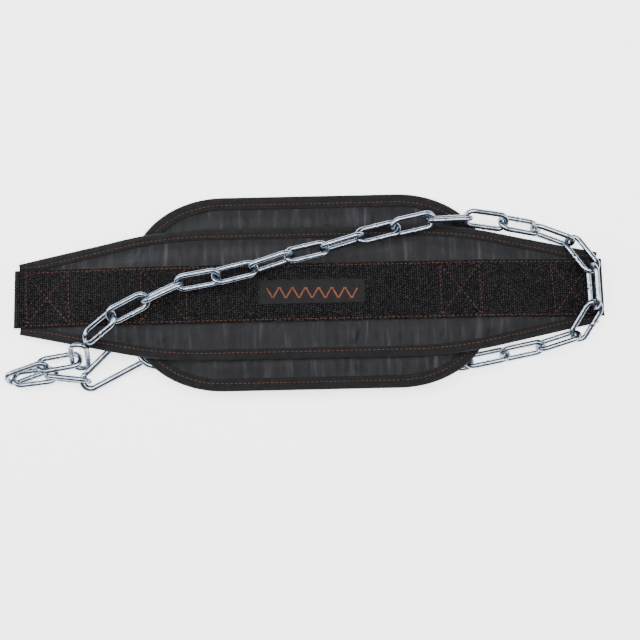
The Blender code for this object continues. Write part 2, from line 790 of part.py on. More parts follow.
def clip_pose(small_end, heading, climb, lean):
    """Pose of a clip from its small bend's middle, with heading, climb and lean in degrees."""
    turn = Matrix.Rotation(math.radians(heading), 4, "Z")
    pitch = Matrix.Rotation(-math.radians(climb), 4, "Y")
    roll = Matrix.Rotation(math.radians(lean), 4, "X")
    return Matrix.Translation(small_end) @ turn @ pitch @ roll


# Where the clips lie: middle of the small bend, heading, climb and lean
CLIP_POSES = (
    ((-0.2067, -0.0777, 0.0089), 35.3, 1.7, 18.0),
    ((-0.0969, -0.0672, 0.0102), 161.1, -2.3, 199.0),
)


def clear_scene():
    for item in list(bpy.data.objects):
        bpy.data.objects.remove(item)


def new_collection(name):
    collection = bpy.data.collections.new(name)
    bpy.context.scene.collection.children.link(collection)
    return collection


def rest_on_floor(origin):
    """Move everything so that the lowest point is at Z = 0 and the middle is over the origin."""
    bpy.context.view_layer.update()
    depsgraph = bpy.context.evaluated_depsgraph_get()
    points = []
    for item in PARTS.objects:
        if item.type == "EMPTY":
            continue
        shape = item.evaluated_get(depsgraph)
        points.extend(shape.matrix_world @ vertex.co for vertex in shape.to_mesh().vertices)
    lows = [min(point[axis] for point in points) for axis in range(3)]
    highs = [max(point[axis] for point in points) for axis in range(3)]
    origin.location = (-(lows[0] + highs[0]) / 2, -(lows[1] + highs[1]) / 2, -lows[2])


clear_scene()
PARTS = new_collection("dip_belt")
CUTTERS = new_collection("cutters")

NYLON = make_material("nylon", (0.030, 0.031, 0.040), 0.45)
TAPE = make_material("binding_tape", (0.012, 0.012, 0.013), 0.80)
WEBBING = make_material("webbing", (0.010, 0.009, 0.009), 0.85)
LABEL = make_material("label", (0.020, 0.020, 0.022), 0.80)
STEEL = make_material("zinc_plated_steel", (0.62, 0.66, 0.72), 0.22, 1.0)

ORIGIN = bpy.data.objects.new("dip_belt_origin", None)
PARTS.objects.link(ORIGIN)
make_back_pad(ORIGIN)
make_belt_pad(ORIGIN)
make_webbing(ORIGIN)
make_label(ORIGIN)
make_chain(ORIGIN)
for clip_number, (clip_place, clip_heading, clip_climb, clip_lean) in enumerate(CLIP_POSES, start=1):
    make_clip(clip_number, clip_pose(clip_place, clip_heading, clip_climb, clip_lean), ORIGIN)
rest_on_floor(ORIGIN)
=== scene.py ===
"""A dip belt seen from above: wrinkled nylon pads, bindings, webbing, stitches, chain and clips.

The pieces are drawn in the belt's own coordinates, in metres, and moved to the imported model's frame.
"""
import math
import random

import bmesh
import bpy
import numpy as np
from mathutils import Matrix, Vector, noise


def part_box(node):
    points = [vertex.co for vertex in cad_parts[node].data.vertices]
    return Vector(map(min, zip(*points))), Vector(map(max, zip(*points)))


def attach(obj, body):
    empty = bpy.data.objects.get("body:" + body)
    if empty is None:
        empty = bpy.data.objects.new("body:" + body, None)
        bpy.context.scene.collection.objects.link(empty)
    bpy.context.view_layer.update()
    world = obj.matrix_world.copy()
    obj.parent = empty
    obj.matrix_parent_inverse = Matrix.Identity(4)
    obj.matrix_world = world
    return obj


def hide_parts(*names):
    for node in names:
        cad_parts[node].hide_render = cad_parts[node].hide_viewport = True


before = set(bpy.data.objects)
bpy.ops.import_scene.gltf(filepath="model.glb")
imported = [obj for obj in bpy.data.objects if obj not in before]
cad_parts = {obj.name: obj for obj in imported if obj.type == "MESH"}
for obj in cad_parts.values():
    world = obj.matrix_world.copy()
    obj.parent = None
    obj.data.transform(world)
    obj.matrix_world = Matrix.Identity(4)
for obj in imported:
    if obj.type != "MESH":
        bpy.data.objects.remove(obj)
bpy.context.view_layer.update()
ROOT = "belt_and_chain"

# The belt's own middle in the frame
LOW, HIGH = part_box("belt_pad")
SHIFT = Vector(((LOW.x + HIGH.x) / 2, (LOW.y + HIGH.y) / 2, 0.0))

# Sizes shared with the solids
TAPE_GAP = 0.0005
TAPE_THICKNESS = 0.0012
WRAP = TAPE_GAP + TAPE_THICKNESS
GAP = 0.0003
TAIL_GAP = 0.0010
LAYER_GAP = 0.0006
SEAM_THICKNESS = 0.003
PAD_THICKNESS = 0.008
BACK_LENGTH = 0.332
BACK_HEIGHT = 0.180
BACK_CORNER_LONG = 0.084
BACK_CORNER_HIGH = 0.065
BACK_SHIFT = 0.002
BACK_RISE = 0.001
BACK_TAPE_LEG = 0.0103
BACK_CROWN_WIDTH = 0.020
BELT_LENGTH = 0.545
BELT_HEIGHT = 0.120
BELT_STRAIGHT_HALF = 0.093
BELT_FILLET_RADIUS = 0.410
BELT_TAPER = math.radians(11.57)
BELT_TAPE_LEG = 0.0085
BELT_CROWN_WIDTH = 0.016
BELT_UNDER_CROWN = 0.0014
BELT_FLAT_FROM = 0.200
BELT_FLAT_TO = 0.255
WEB_WIDTH = 0.054
WEB_THICKNESS = 0.0022
WEB_REACH = 0.0065
WEB_TIP_LEAN = 0.035
WEB_LOOP_SWELL = 0.0009
WEB_TAIL = 0.064
LABEL_LENGTH = 0.098
LABEL_HEIGHT = 0.0228
LABEL_THICKNESS = 0.0008
LABEL_CENTRE = (0.0035, 0.0005)
RIDGE_HEIGHT = 0.0180
RIDGE_Y = -0.040
DRAPE_FLAT_LEFT = 0.195
DRAPE_END_LEFT = 0.285
DRAPE_FLAT_RIGHT = 0.175
DRAPE_END_RIGHT = 0.255
STEP_FROM = 0.150
STEP_TO = 0.205
WIRE = 0.005
LINK_INSIDE = 0.035
LINK_WIDTH = 0.020
CLIP_WIRE = 0.006
CLIP_CENTRES = 0.0508
CLIP_SMALL_RADIUS = 0.00785
CLIP_WIDE_RADIUS = 0.0155
RIVET_FROM_BEND = 0.0055
RIVET_RADIUS = 0.0011
HINGE_REACH = 0.0012
GATE_START = 0.0030
GATE_LENGTH = 0.0430
LATCH_GAP = 0.0005
TONGUE_THICKNESS = 0.0018
TONGUE_WIDTH = 0.0044
TONGUE_LENGTH = 0.0040
SLOT_DEPTH = 0.0065
CLIP_POSES = (
    ((-0.2067, -0.0777, 0.0089), 35.3, 1.7, 18.0),
    ((-0.0969, -0.0672, 0.0102), 161.1, -2.3, 199.0),
)

# Camera, in the belt's own coordinates
CAMERA_AIM = (0.0102, -0.0250)
CAMERA_DISTANCE = 1.410
CAMERA_ELEVATION = math.radians(88.0)
CAMERA_ROLL = math.radians(1.25)
CAMERA_LENS = 83.64


def make_camera():
    right = Vector((1.0, 0.0, 0.0))
    up = Vector((0.0, math.sin(CAMERA_ELEVATION), math.cos(CAMERA_ELEVATION)))
    back = right.cross(up)
    tilted_right = right * math.cos(CAMERA_ROLL) - up * math.sin(CAMERA_ROLL)
    tilted_up = right * math.sin(CAMERA_ROLL) + up * math.cos(CAMERA_ROLL)
    rotation = Matrix((tilted_right, tilted_up, back)).transposed().to_4x4()
    place = Vector((*CAMERA_AIM, 0.0)) + back * CAMERA_DISTANCE + SHIFT
    camera = bpy.data.objects.new("camera", bpy.data.cameras.new("camera"))
    camera.data.lens = CAMERA_LENS
    camera.data.sensor_width = 36.0
    camera.data.clip_start = 0.01
    camera.data.clip_end = 20.0
    camera.matrix_world = Matrix.Translation(place) @ rotation
    bpy.context.scene.collection.objects.link(camera)
    bpy.context.scene.camera = camera


make_camera()


# Shapes shared with the solids

def smooth(share):
    share = np.clip(share, 0.0, 1.0)
    return share * share * (3.0 - 2.0 * share)


def back_half_height(x):
    corner_start = BACK_LENGTH / 2 - BACK_CORNER_LONG
    along = np.clip((np.abs(x - BACK_SHIFT) - corner_start) / BACK_CORNER_LONG, 0.0, 1.0)
    return BACK_HEIGHT / 2 - BACK_CORNER_HIGH + BACK_CORNER_HIGH * np.sqrt(1.0 - along * along)


def belt_half_height(x):
    past = np.maximum(np.abs(x) - BELT_STRAIGHT_HALF, 0.0)
    fillet = BELT_FILLET_RADIUS * math.sin(BELT_TAPER)
    bend = np.minimum(past, fillet)
    drop = BELT_FILLET_RADIUS - np.sqrt(BELT_FILLET_RADIUS ** 2 - bend ** 2)
    return BELT_HEIGHT / 2 - drop - np.maximum(0.0, past - fillet) * math.tan(BELT_TAPER)


def drape(x, y):
    flat = np.where(x > 0.0, DRAPE_FLAT_RIGHT, DRAPE_FLAT_LEFT)
    end = np.where(x > 0.0, DRAPE_END_RIGHT, DRAPE_END_LEFT)
    across = (end - np.abs(x)) / (end - flat)
    edge = BACK_RISE + BACK_HEIGHT / 2
    return RIDGE_HEIGHT * smooth(across) * smooth((edge - y) / (edge - RIDGE_Y))


def back_bottom(x, y):
    return drape(x, y) + WRAP


def back_inset(x, y):
    past_side = np.abs(x - BACK_SHIFT) - (BACK_LENGTH / 2 - BACK_CORNER_LONG)
    past_end = np.abs(y - BACK_RISE) - (BACK_HEIGHT / 2 - BACK_CORNER_HIGH)
    side = np.maximum(past_side, 1e-6)
    end = np.maximum(past_end, 1e-6)
    share = np.hypot(side / BACK_CORNER_LONG, end / BACK_CORNER_HIGH)
    corner = np.hypot(side, end) * (1.0 / share - 1.0)
    straight = np.minimum(BACK_CORNER_LONG - past_side, BACK_CORNER_HIGH - past_end)
    return np.where((past_side > 0.0) & (past_end > 0.0), corner, straight)


def belt_lift(x):
    over_pad = PAD_THICKNESS + LAYER_GAP + WRAP
    over_tail = WEB_THICKNESS + BELT_UNDER_CROWN - WRAP + TAIL_GAP
    return over_tail + (over_pad - over_tail) * smooth((STEP_TO - np.abs(x)) / (STEP_TO - STEP_FROM))


def belt_crown(x, y):
    tip = smooth((BELT_FLAT_TO - np.abs(x)) / (BELT_FLAT_TO - BELT_FLAT_FROM))
    return tip * smooth((belt_half_height(x) - np.abs(y) - BELT_TAPE_LEG) / BELT_CROWN_WIDTH)


def belt_bottom(x, y):
    return drape(x, y) + WRAP + belt_lift(x) - BELT_UNDER_CROWN * belt_crown(x, y)


def belt_top(x, y):
    return belt_bottom(x, y) + SEAM_THICKNESS + (PAD_THICKNESS - SEAM_THICKNESS) * belt_crown(x, y)


def web_top(x, y):
    return belt_top(x, y) + GAP + WEB_THICKNESS


def back_middle(x, y):
    return back_bottom(x, y) + SEAM_THICKNESS / 2


def belt_middle(x, y):
    return drape(x, y) + WRAP + belt_lift(x) + SEAM_THICKNESS / 2


# Materials

class Nodes:
    """Short calls that build one material's node tree."""

    def __init__(self, name, slot):
        self.material = bpy.data.materials.new(name)
        self.material.use_nodes = True
        self.slot = slot
        self.tree = self.material.node_tree
        self.shader = self.tree.nodes["Principled BSDF"]
        self.place = self.tree.nodes.new("ShaderNodeTexCoord").outputs["Object"]

    def axes(self):
        made = self.tree.nodes.new("ShaderNodeSeparateXYZ")
        self.put(made.inputs["Vector"], self.place)
        return made.outputs

    def wave(self, value, turns):
        return self.math("SINE", self.math("MULTIPLY", value, turns))

    def put(self, socket, value):
        if isinstance(value, bpy.types.NodeSocket):
            self.tree.links.new(value, socket)
        else:
            socket.default_value = value

    def math(self, operation, first, second=0.0):
        made = self.tree.nodes.new("ShaderNodeMath")
        made.operation = operation
        self.put(made.inputs[0], first)
        self.put(made.inputs[1], second)
        return made.outputs[0]

    def scaled(self, factors):
        made = self.tree.nodes.new("ShaderNodeMapping")
        self.put(made.inputs["Vector"], self.place)
        made.inputs["Scale"].default_value = factors
        return made.outputs[0]

    def noise(self, vector, scale, detail=2.0):
        made = self.tree.nodes.new("ShaderNodeTexNoise")
        self.put(made.inputs["Vector"], vector)
        made.inputs["Scale"].default_value = scale
        made.inputs["Detail"].default_value = detail
        return made.outputs["Fac"]

    def ramp(self, factor, stops):
        made = self.tree.nodes.new("ShaderNodeValToRGB")
        self.put(made.inputs[0], factor)
        elements = made.color_ramp.elements
        while len(elements) < len(stops):
            elements.new(0.5)
        for element, (position, colour) in zip(elements, stops):
            element.position = position
            element.color = (*colour, 1.0)
        return made.outputs[0]

    def bump(self, height, strength, distance):
        made = self.tree.nodes.new("ShaderNodeBump")
        self.put(made.inputs["Height"], height)
        made.inputs["Strength"].default_value = strength
        made.inputs["Distance"].default_value = distance
        self.put(self.shader.inputs["Normal"], made.outputs[0])

    def set(self, **values):
        for name, value in values.items():
            self.put(self.shader.inputs[name.replace("_", " ")], value)


# Weave frequencies, in radians a metre
NYLON_WEAVE = 7000.0
BINDING_WEAVE = 5200.0
WEBBING_RIBS = 2900.0
WEBBING_ROWS = 3100.0
WEBBING_COLUMN = 0.0045
LABEL_RIBS = 6500.0
THREAD_TWIST = 9000.0


def nylon_material():
    """Dark coated nylon with painted highlight streaks that run across the belt, paler in colour and glossier
    along them.
    """
    nodes = Nodes("nylon_cloth", "nylon")
    axes = nodes.axes()
    weave = nodes.math("MULTIPLY", nodes.wave(axes[0], NYLON_WEAVE), nodes.wave(axes[1], NYLON_WEAVE))
    painted_highlight_streaks = nodes.noise(nodes.scaled((230.0, 20.0, 20.0)), 1.0, 5.0)
    # Painted highlight: where the streak noise is high the nylon's colour turns paler, standing in for light
    # caught on wrinkles; the same streaks also lower the roughness.
    colour = nodes.ramp(painted_highlight_streaks, (
        (0.42, (0.0028, 0.0028, 0.0044)),
        (0.58, (0.0060, 0.0060, 0.0088)),
        (0.74, (0.0290, 0.0290, 0.0370))))
    roughness = nodes.math("SUBTRACT", 0.58, nodes.math("MULTIPLY", painted_highlight_streaks, 0.34))
    nodes.set(Base_Color=colour, Roughness=roughness, Specular_IOR_Level=0.30)
    crease = nodes.noise(nodes.scaled((240.0, 90.0, 60.0)), 1.0, 5.0)
    nodes.bump(nodes.math("ADD", nodes.math("MULTIPLY", weave, 0.12), crease), 0.75, 0.0014)
    return nodes


def binding_material():
    """Matt tape of crossed diagonal ribs."""
    nodes = Nodes("binding_tape_weave", "binding_tape")
    axes = nodes.axes()
    ribs = nodes.wave(nodes.math("ADD", axes[0], axes[1]), BINDING_WEAVE)
    cross = nodes.wave(nodes.math("SUBTRACT", axes[0], axes[1]), BINDING_WEAVE)
    weave = nodes.math("MULTIPLY", ribs, cross)
    patches = nodes.noise(nodes.scaled((1.0, 1.0, 1.0)), 160.0, 5.0)
    colour = nodes.ramp(patches, ((0.35, (0.0028, 0.0028, 0.0034)), (0.75, (0.0075, 0.0075, 0.0085))))
    nodes.set(Base_Color=colour, Roughness=0.78, Specular_IOR_Level=0.22)
    nodes.bump(nodes.math("ADD", nodes.math("MULTIPLY", weave, 0.5), patches), 0.5, 0.0005)
    return nodes


def webbing_material():
    """Herringbone of short ribs, with a few lighter grey threads showing."""
    nodes = Nodes("webbing_weave", "webbing")
    axes = nodes.axes()
    column = nodes.math("PINGPONG", axes[0], WEBBING_COLUMN)
    slanted = nodes.math("ADD", axes[1], nodes.math("MULTIPLY", column, 0.9))
    ribs = nodes.wave(slanted, WEBBING_RIBS)
    rows = nodes.wave(axes[0], WEBBING_ROWS)
    weave = nodes.math("ADD", nodes.math("MULTIPLY", ribs, 0.6), nodes.math("MULTIPLY", rows, 0.4))
    specks = nodes.noise(nodes.scaled((1.0, 1.0, 1.0)), 620.0, 2.0)
    shade = nodes.math("ADD", nodes.math("MULTIPLY", weave, 0.30), specks)
    colour = nodes.ramp(shade, (
        (0.36, (0.0004, 0.0004, 0.0005)),
        (0.62, (0.0016, 0.0016, 0.0018)),
        (0.80, (0.0420, 0.0400, 0.0430))))
    nodes.set(Base_Color=colour, Roughness=0.82, Specular_IOR_Level=0.12)
    nodes.bump(weave, 0.8, 0.0007)
    return nodes


def label_material():
    nodes = Nodes("label_patch_cloth", "label")
    ribs = nodes.wave(nodes.axes()[1], LABEL_RIBS)
    dust = nodes.noise(nodes.scaled((1.0, 1.0, 1.0)), 500.0, 4.0)
    colour = nodes.ramp(dust, ((0.3, (0.0030, 0.0030, 0.0036)), (0.8, (0.0090, 0.0088, 0.0096))))
    nodes.set(Base_Color=colour, Roughness=0.8, Specular_IOR_Level=0.22)
    nodes.bump(nodes.math("ADD", nodes.math("MULTIPLY", ribs, 0.4), dust), 0.4, 0.0003)
    return nodes


def thread_material(name, colour):
    nodes = Nodes(name, "label")
    axes = nodes.axes()
    twist = nodes.wave(nodes.math("ADD", axes[0], axes[1]), THREAD_TWIST)
    wear = nodes.noise(nodes.scaled((1.0, 1.0, 1.0)), 220.0, 3.0)
    dark = tuple(channel * 0.45 for channel in colour)
    nodes.set(Base_Color=nodes.ramp(wear, ((0.32, dark), (0.60, colour))), Roughness=0.62)
    nodes.bump(twist, 0.4, 0.0002)
    return nodes


def steel_material():
    nodes = Nodes("zinc_plating", "zinc_plated_steel")
    smudges = nodes.noise(nodes.scaled((1.0, 1.0, 1.0)), 190.0, 4.0)
    scratches = nodes.noise(nodes.scaled((900.0, 260.0, 600.0)), 1.0, 3.0)
    colour = nodes.ramp(smudges, (
        (0.25, (0.120, 0.150, 0.200)), (0.50, (0.235, 0.275, 0.335)), (0.75, (0.380, 0.415, 0.460))))
    rough = nodes.math("ADD", 0.10, nodes.math("MULTIPLY", scratches, 0.22))
    nodes.set(Base_Color=colour, Roughness=rough, Metallic=1.0)
    nodes.bump(nodes.math("ADD", smudges, nodes.math("MULTIPLY", scratches, 0.5)), 0.25, 0.0004)
    return nodes


NYLON = nylon_material()
BINDING = binding_material()
WEBBING = webbing_material()
LABEL = label_material()
SEAM_THREAD = thread_material("seam_thread", (0.130, 0.026, 0.009))
BOX_THREAD = thread_material("box_thread", (0.105, 0.022, 0.008))
ORNAMENT_THREAD = thread_material("ornament_thread", (0.170, 0.036, 0.013))
STEEL = steel_material()


# Pieces

def closed_mesh(name, vertices, faces):
    mesh = bpy.data.meshes.new(name)
    mesh.from_pydata([tuple(map(float, vertex)) for vertex in vertices], [], faces)
    mesh.validate()
    bm = bmesh.new()
    bm.from_mesh(mesh)
    bmesh.ops.recalc_face_normals(bm, faces=bm.faces[:])
    bm.to_mesh(mesh)
    bm.free()
    return mesh


def add_piece(name, vertices, faces, nodes, replaced=(), matrix=None):
    """A closed mesh in the belt's coordinates that rides on the root and stands for CAD nodes."""
    return place_mesh(name, closed_mesh(name, vertices, faces), nodes, replaced, matrix=matrix)


def place_mesh(name, mesh, nodes, replaced=(), body=ROOT, matrix=None):
    mesh.polygons.foreach_set("use_smooth", [True] * len(mesh.polygons))
    mesh.materials.clear()
    mesh.materials.append(nodes.material)
    piece = bpy.data.objects.new(name, mesh)
    bpy.context.scene.collection.objects.link(piece)
    piece.matrix_world = Matrix.Translation(SHIFT) @ (matrix or Matrix.Identity(4))
    bpy.context.view_layer.update()
    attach(piece, body)
    if replaced:
        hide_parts(*replaced)
    return piece


def join_parts(parts):
    """Vertices and faces of several meshes as one."""
    vertices = []
    faces = []
    for points, polygons in parts:
        base = len(vertices)
        vertices.extend(points)
        faces.extend(tuple(base + index for index in polygon) for polygon in polygons)
    return vertices, faces


def circle(centre, out, up, radius, sides):
    """Points of a wire's round section."""
    turns = [2 * math.pi * k / sides for k in range(sides)]
    return [centre + (out * math.cos(turn) + up * math.sin(turn)) * radius for turn in turns]


def grid_faces(columns, rows, offset=0, flip=False):
    faces = []
    for i in range(columns - 1):
        for j in range(rows - 1):
            a = offset + i * rows + j
            quad = (a, a + rows, a + rows + 1, a + 1)
            faces.append(quad[::-1] if flip else quad)
    return faces


def slab_mesh(x, y, bottom, top):
    """Vertices and faces of a closed sheet between two height grids."""
    columns, rows = x.shape
    lower = np.stack([x, y, bottom], axis=2).reshape(-1, 3)
    upper = np.stack([x, y, top], axis=2).reshape(-1, 3)
    count = columns * rows
    faces = grid_faces(columns, rows, 0, True) + grid_faces(columns, rows, count)
    rim = [i * rows for i in range(columns)]
    rim += [(columns - 1) * rows + j for j in range(1, rows)]
    rim += [i * rows + rows - 1 for i in range(columns - 2, -1, -1)]
    rim += [j for j in range(rows - 2, 0, -1)]
    for a, b in zip(rim, rim[1:] + rim[:1]):
        faces.append((a, b, b + count, a + count))
    return np.concatenate([lower, upper]), faces


def swept_mesh(sections, closed):
    """Vertices and faces of a solid swept through equal closed sections."""
    sections = np.asarray(sections)
    count, size = sections.shape[:2]
    faces = []
    for i in range(count if closed else count - 1):
        after = (i + 1) % count
        for j in range(size):
            following = (j + 1) % size
            faces.append((i * size + j, i * size + following, after * size + following, after * size + j))
    if not closed:
        faces.append(tuple(range(size)))
        faces.append(tuple((count - 1) * size + j for j in range(size - 1, -1, -1)))
    return sections.reshape(-1, 3), faces


# Wrinkles of the nylon

FOLD_SEED = 11


class Folds:
    """Soft folds that run across a strip of cloth, with their places, widths and heights."""

    def __init__(self, seed, strips):
        source = random.Random(seed)
        self.rows = []
        for start, end, centre_y, reach, spacing, height, marked in strips:
            x = start
            while x < end:
                self.rows.append((
                    x, source.uniform(0.0012, 0.0030), height * source.uniform(0.15, 0.75),
                    source.uniform(-0.35, 0.35), centre_y + source.uniform(-0.3, 0.3) * reach,
                    reach * source.uniform(0.45, 1.0)))
                x += spacing * source.uniform(0.5, 1.5)
            for place in marked:
                self.rows.append((
                    place, source.uniform(0.0018, 0.0032), height * source.uniform(1.0, 1.5),
                    source.uniform(-0.22, 0.22), centre_y, reach * source.uniform(0.9, 1.3)))

    def height(self, x, y):
        total = np.zeros_like(x)
        for place, width, height, slant, centre_y, reach in self.rows:
            bend = slant * (y - centre_y) + 0.0012 * np.sin((y - centre_y) * 260.0 + place * 900.0)
            offset = (x - place - bend) / width
            ridge = np.exp(-offset * offset) - 0.45 * np.exp(-((offset - 1.9) ** 2) * 0.7)
            total += height * ridge * np.exp(-((y - centre_y) / reach) ** 2)
        return total


def soft_noise(x, y, scale_x, scale_y, seed):
    """Smooth noise on a grid, from -1 to 1."""
    result = np.empty_like(x)
    flat_x = x.ravel() * scale_x
    flat_y = y.ravel() * scale_y
    flat = result.ravel()
    for index in range(flat.size):
        flat[index] = noise.noise(Vector((flat_x[index], flat_y[index], seed)))
    return flat.reshape(x.shape)


BELT_FOLDS = Folds(FOLD_SEED, (
    (-0.215, 0.215, 0.041, 0.014, 0.011, 0.00100,
     (-0.166, -0.159, -0.139, -0.122, -0.1025, -0.062, -0.0005, 0.021, 0.030, 0.098, 0.123)),
    (-0.215, 0.215, -0.041, 0.014, 0.011, 0.00100,
     (-0.163, -0.138, -0.0725, -0.0457, -0.026, 0.005, 0.042, 0.058, 0.082, 0.162)),
))
BACK_FOLDS = Folds(FOLD_SEED + 1, (
    (-0.120, 0.120, 0.068, 0.014, 0.012, 0.00100, (-0.0655, -0.060, 0.002, 0.017, 0.0225, 0.060)),
    (-0.120, 0.120, -0.070, 0.014, 0.012, 0.00100,
     (-0.0615, -0.0466, -0.003, 0.009, 0.024, 0.0306, 0.046, 0.085)),
    (-0.150, -0.120, 0.0, 0.050, 0.010, 0.00030, ()),
    (0.120, 0.150, 0.0, 0.050, 0.010, 0.00030, ()),
))


RELIEF_HEIGHT = 0.00035
PUCKER_HEIGHT = 0.00022
BACK_CORNER_COLUMNS = 44
BACK_MIDDLE_COLUMNS = 84
BACK_ROWS = 111
BACK_FREE_WIDTH = 0.010
BACK_CROWN_UNDER_TAPE = 0.002
BACK_PUCKER_WIDTH = 0.006
# The belt presses the back pad flat under it
PRESS_DEPTH = 0.0004
PRESS_MARGIN = 0.006
PRESS_FADE = 0.010
PRESS_END = 0.19
PRESS_END_FADE = 0.02
BELT_COLUMNS = 290
BELT_ROWS = 91
BELT_FREE_WIDTH = 0.007
BELT_PUCKER_WIDTH = 0.005
WEB_FREE_MARGIN = 0.001
WEB_FREE_WIDTH = 0.006
TIP_FREE_END = 0.25
TIP_FREE_FADE = 0.03
WEB_GROOVE_DEPTH = 0.0006
WEB_GROOVE_WIDTH = 0.0035


def pucker_wave(x, y, pitch, seed):
    """Small puckers along a seam, uneven in their spacing."""
    return PUCKER_HEIGHT * np.sin(x * pitch + 3.0 * soft_noise(x, y, 60.0, 60.0, seed))


def make_back_pad():
    corner_start = BACK_LENGTH / 2 - BACK_CORNER_LONG
    turns = np.linspace(0.0, math.pi / 2, BACK_CORNER_COLUMNS)[1:]
    corner = corner_start + BACK_CORNER_LONG * np.sin(turns)
    middle = np.linspace(-corner_start, corner_start, BACK_MIDDLE_COLUMNS)
    xs = np.concatenate([-corner[::-1], middle, corner]) + BACK_SHIFT
    shares = np.linspace(-1.0, 1.0, BACK_ROWS)
    x, share = np.meshgrid(xs, shares, indexing="ij")
    y = BACK_RISE + share * back_half_height(x)
    inset = back_inset(x, y)
    bottom = back_bottom(x, y)
    crown = smooth((inset - BACK_TAPE_LEG + BACK_CROWN_UNDER_TAPE) / BACK_CROWN_WIDTH)
    free = smooth((inset - BACK_TAPE_LEG) / BACK_FREE_WIDTH)
    under_belt = smooth((belt_half_height(x) + PRESS_MARGIN - np.abs(y)) / PRESS_FADE)
    under_belt *= smooth((PRESS_END - np.abs(x)) / PRESS_END_FADE)
    relief = BACK_FOLDS.height(x, y) + RELIEF_HEIGHT * soft_noise(x, y, 90.0, 45.0, 3.0)
    pucker = pucker_wave(x, y, 900.0, 5.0)
    pucker *= np.exp(-((inset - BACK_TAPE_LEG) / BACK_PUCKER_WIDTH) ** 2)
    top = bottom + SEAM_THICKNESS + (PAD_THICKNESS - SEAM_THICKNESS) * crown
    top += (relief * free + pucker) * (1.0 - under_belt) - PRESS_DEPTH * under_belt
    vertices, faces = slab_mesh(x, y, bottom, top)
    pad = add_piece("back_pad_nylon", vertices, faces, NYLON, ("back_pad",))


def make_belt_pad():
    xs = np.linspace(-BELT_LENGTH / 2, BELT_LENGTH / 2, BELT_COLUMNS)
    shares = np.linspace(-1.0, 1.0, BELT_ROWS)
    x, share = np.meshgrid(xs, shares, indexing="ij")
    half = belt_half_height(x)
    y = share * half
    bottom = belt_bottom(x, y)
    top = belt_top(x, y)
    inset = half - np.abs(y)
    free = smooth((inset - BELT_TAPE_LEG) / BELT_FREE_WIDTH)
    free *= smooth((np.abs(y) - WEB_WIDTH / 2 + WEB_FREE_MARGIN) / WEB_FREE_WIDTH)
    free *= smooth((TIP_FREE_END - np.abs(x)) / TIP_FREE_FADE)
    relief = BELT_FOLDS.height(x, y) + RELIEF_HEIGHT * soft_noise(x, y, 90.0, 45.0, 9.0)
    pucker = pucker_wave(x, y, 850.0, 7.0)
    pucker *= np.exp(-((inset - BELT_TAPE_LEG) / BELT_PUCKER_WIDTH) ** 2) * (inset > BELT_TAPE_LEG)
    top += relief * free + pucker
    # The webbing presses the padding down along its two edges
    top -= WEB_GROOVE_DEPTH * np.exp(-((np.abs(y) - WEB_WIDTH / 2) / WEB_GROOVE_WIDTH) ** 2)
    vertices, faces = slab_mesh(x, y, bottom, top)
    pad = add_piece("belt_pad_nylon", vertices, faces, NYLON, ("belt_pad",))


# Binding tapes

STITCH_PITCH = 0.0042
PATH_STEP = 0.0026
LEG_WAVE = 0.00025
TAPE_SWELL = 0.00035
PINCH_SWELL = 0.00012
WAVE_SWELL = 0.00015


def tape_profile(leg, swell):
    """Reach and rise of the points round a folded tape, outer side first."""
    half_seam = SEAM_THICKNESS / 2
    outer = half_seam + WRAP
    inner = half_seam + TAPE_GAP
    points = [(-leg, outer - 0.0003), (-leg + 0.0005, outer), (-leg * 0.72, outer + swell * 0.4)]
    points += [(-leg * 0.55, outer - 0.00025), (-leg * 0.35, outer + swell)]
    points += [(-leg * 0.15, outer + swell * 0.7), (0.0, outer)]
    for step in range(1, 8):
        turn = math.pi / 2 - math.pi * step / 8
        points.append((WRAP * math.cos(turn), outer * math.sin(turn)))
    points += [(0.0, -outer), (-leg, -outer), (-leg, -inner), (0.0, -inner)]
    points += [(TAPE_GAP, 0.0), (0.0, inner), (-leg, inner)]
    return points


def path_frames(path, closed):
    """Points of a plan path at even steps with their outward unit normals."""
    path = np.asarray(path)
    ring = np.vstack([path, path[:1]]) if closed else path
    lengths = np.hypot(*np.diff(ring, axis=0).T)
    travel = np.concatenate([[0.0], np.cumsum(lengths)])
    count = int(travel[-1] / PATH_STEP)
    stations = np.linspace(0.0, travel[-1], count + 1)
    if closed:
        stations = stations[:-1]
    points = np.stack([np.interp(stations, travel, ring[:, k]) for k in range(2)], axis=1)
    if closed:
        tangent = np.roll(points, -2, axis=0) - np.roll(points, 2, axis=0)
    else:
        tangent = np.gradient(points, axis=0)
    tangent /= np.hypot(*tangent.T)[:, None]
    outward = np.stack([tangent[:, 1], -tangent[:, 0]], axis=1)
    return stations, points, outward


def make_tape(name, path, closed, leg_at, middle_at, replaced):
    stations, points, outward = path_frames(path, closed)
    sections = []
    for travel, (px, py), (nx, ny) in zip(stations, points, outward):
        wave = noise.noise(Vector((px * 130.0, py * 130.0, 2.0)))
        pinch = math.sin(travel * 2.0 * math.pi / STITCH_PITCH)
        leg = leg_at(px) + LEG_WAVE * wave
        swell = TAPE_SWELL + PINCH_SWELL * pinch + WAVE_SWELL * wave
        section = []
        for reach, rise in tape_profile(leg, swell):
            x = px + nx * reach
            y = py + ny * reach
            section.append((x, y, float(middle_at(x, y)) + rise))
        sections.append(section)
    vertices, faces = swept_mesh(sections, closed)
    return add_piece(name, vertices, faces, BINDING, replaced)


def back_path(inset):
    """The back pad's outline, pulled in by an inset, counter-clockwise."""
    long_radius = BACK_CORNER_LONG - inset
    high_radius = BACK_CORNER_HIGH - inset
    centre_x = BACK_LENGTH / 2 - BACK_CORNER_LONG
    centre_y = BACK_HEIGHT / 2 - BACK_CORNER_HIGH
    points = []
    for corner, (side_x, side_y) in enumerate(((1, -1), (1, 1), (-1, 1), (-1, -1))):
        for step in range(25):
            turn = math.pi / 2 * (corner - 1 + step / 24)
            points.append((
                BACK_SHIFT + side_x * centre_x + long_radius * math.cos(turn),
                BACK_RISE + side_y * centre_y + high_radius * math.sin(turn)))
    return points


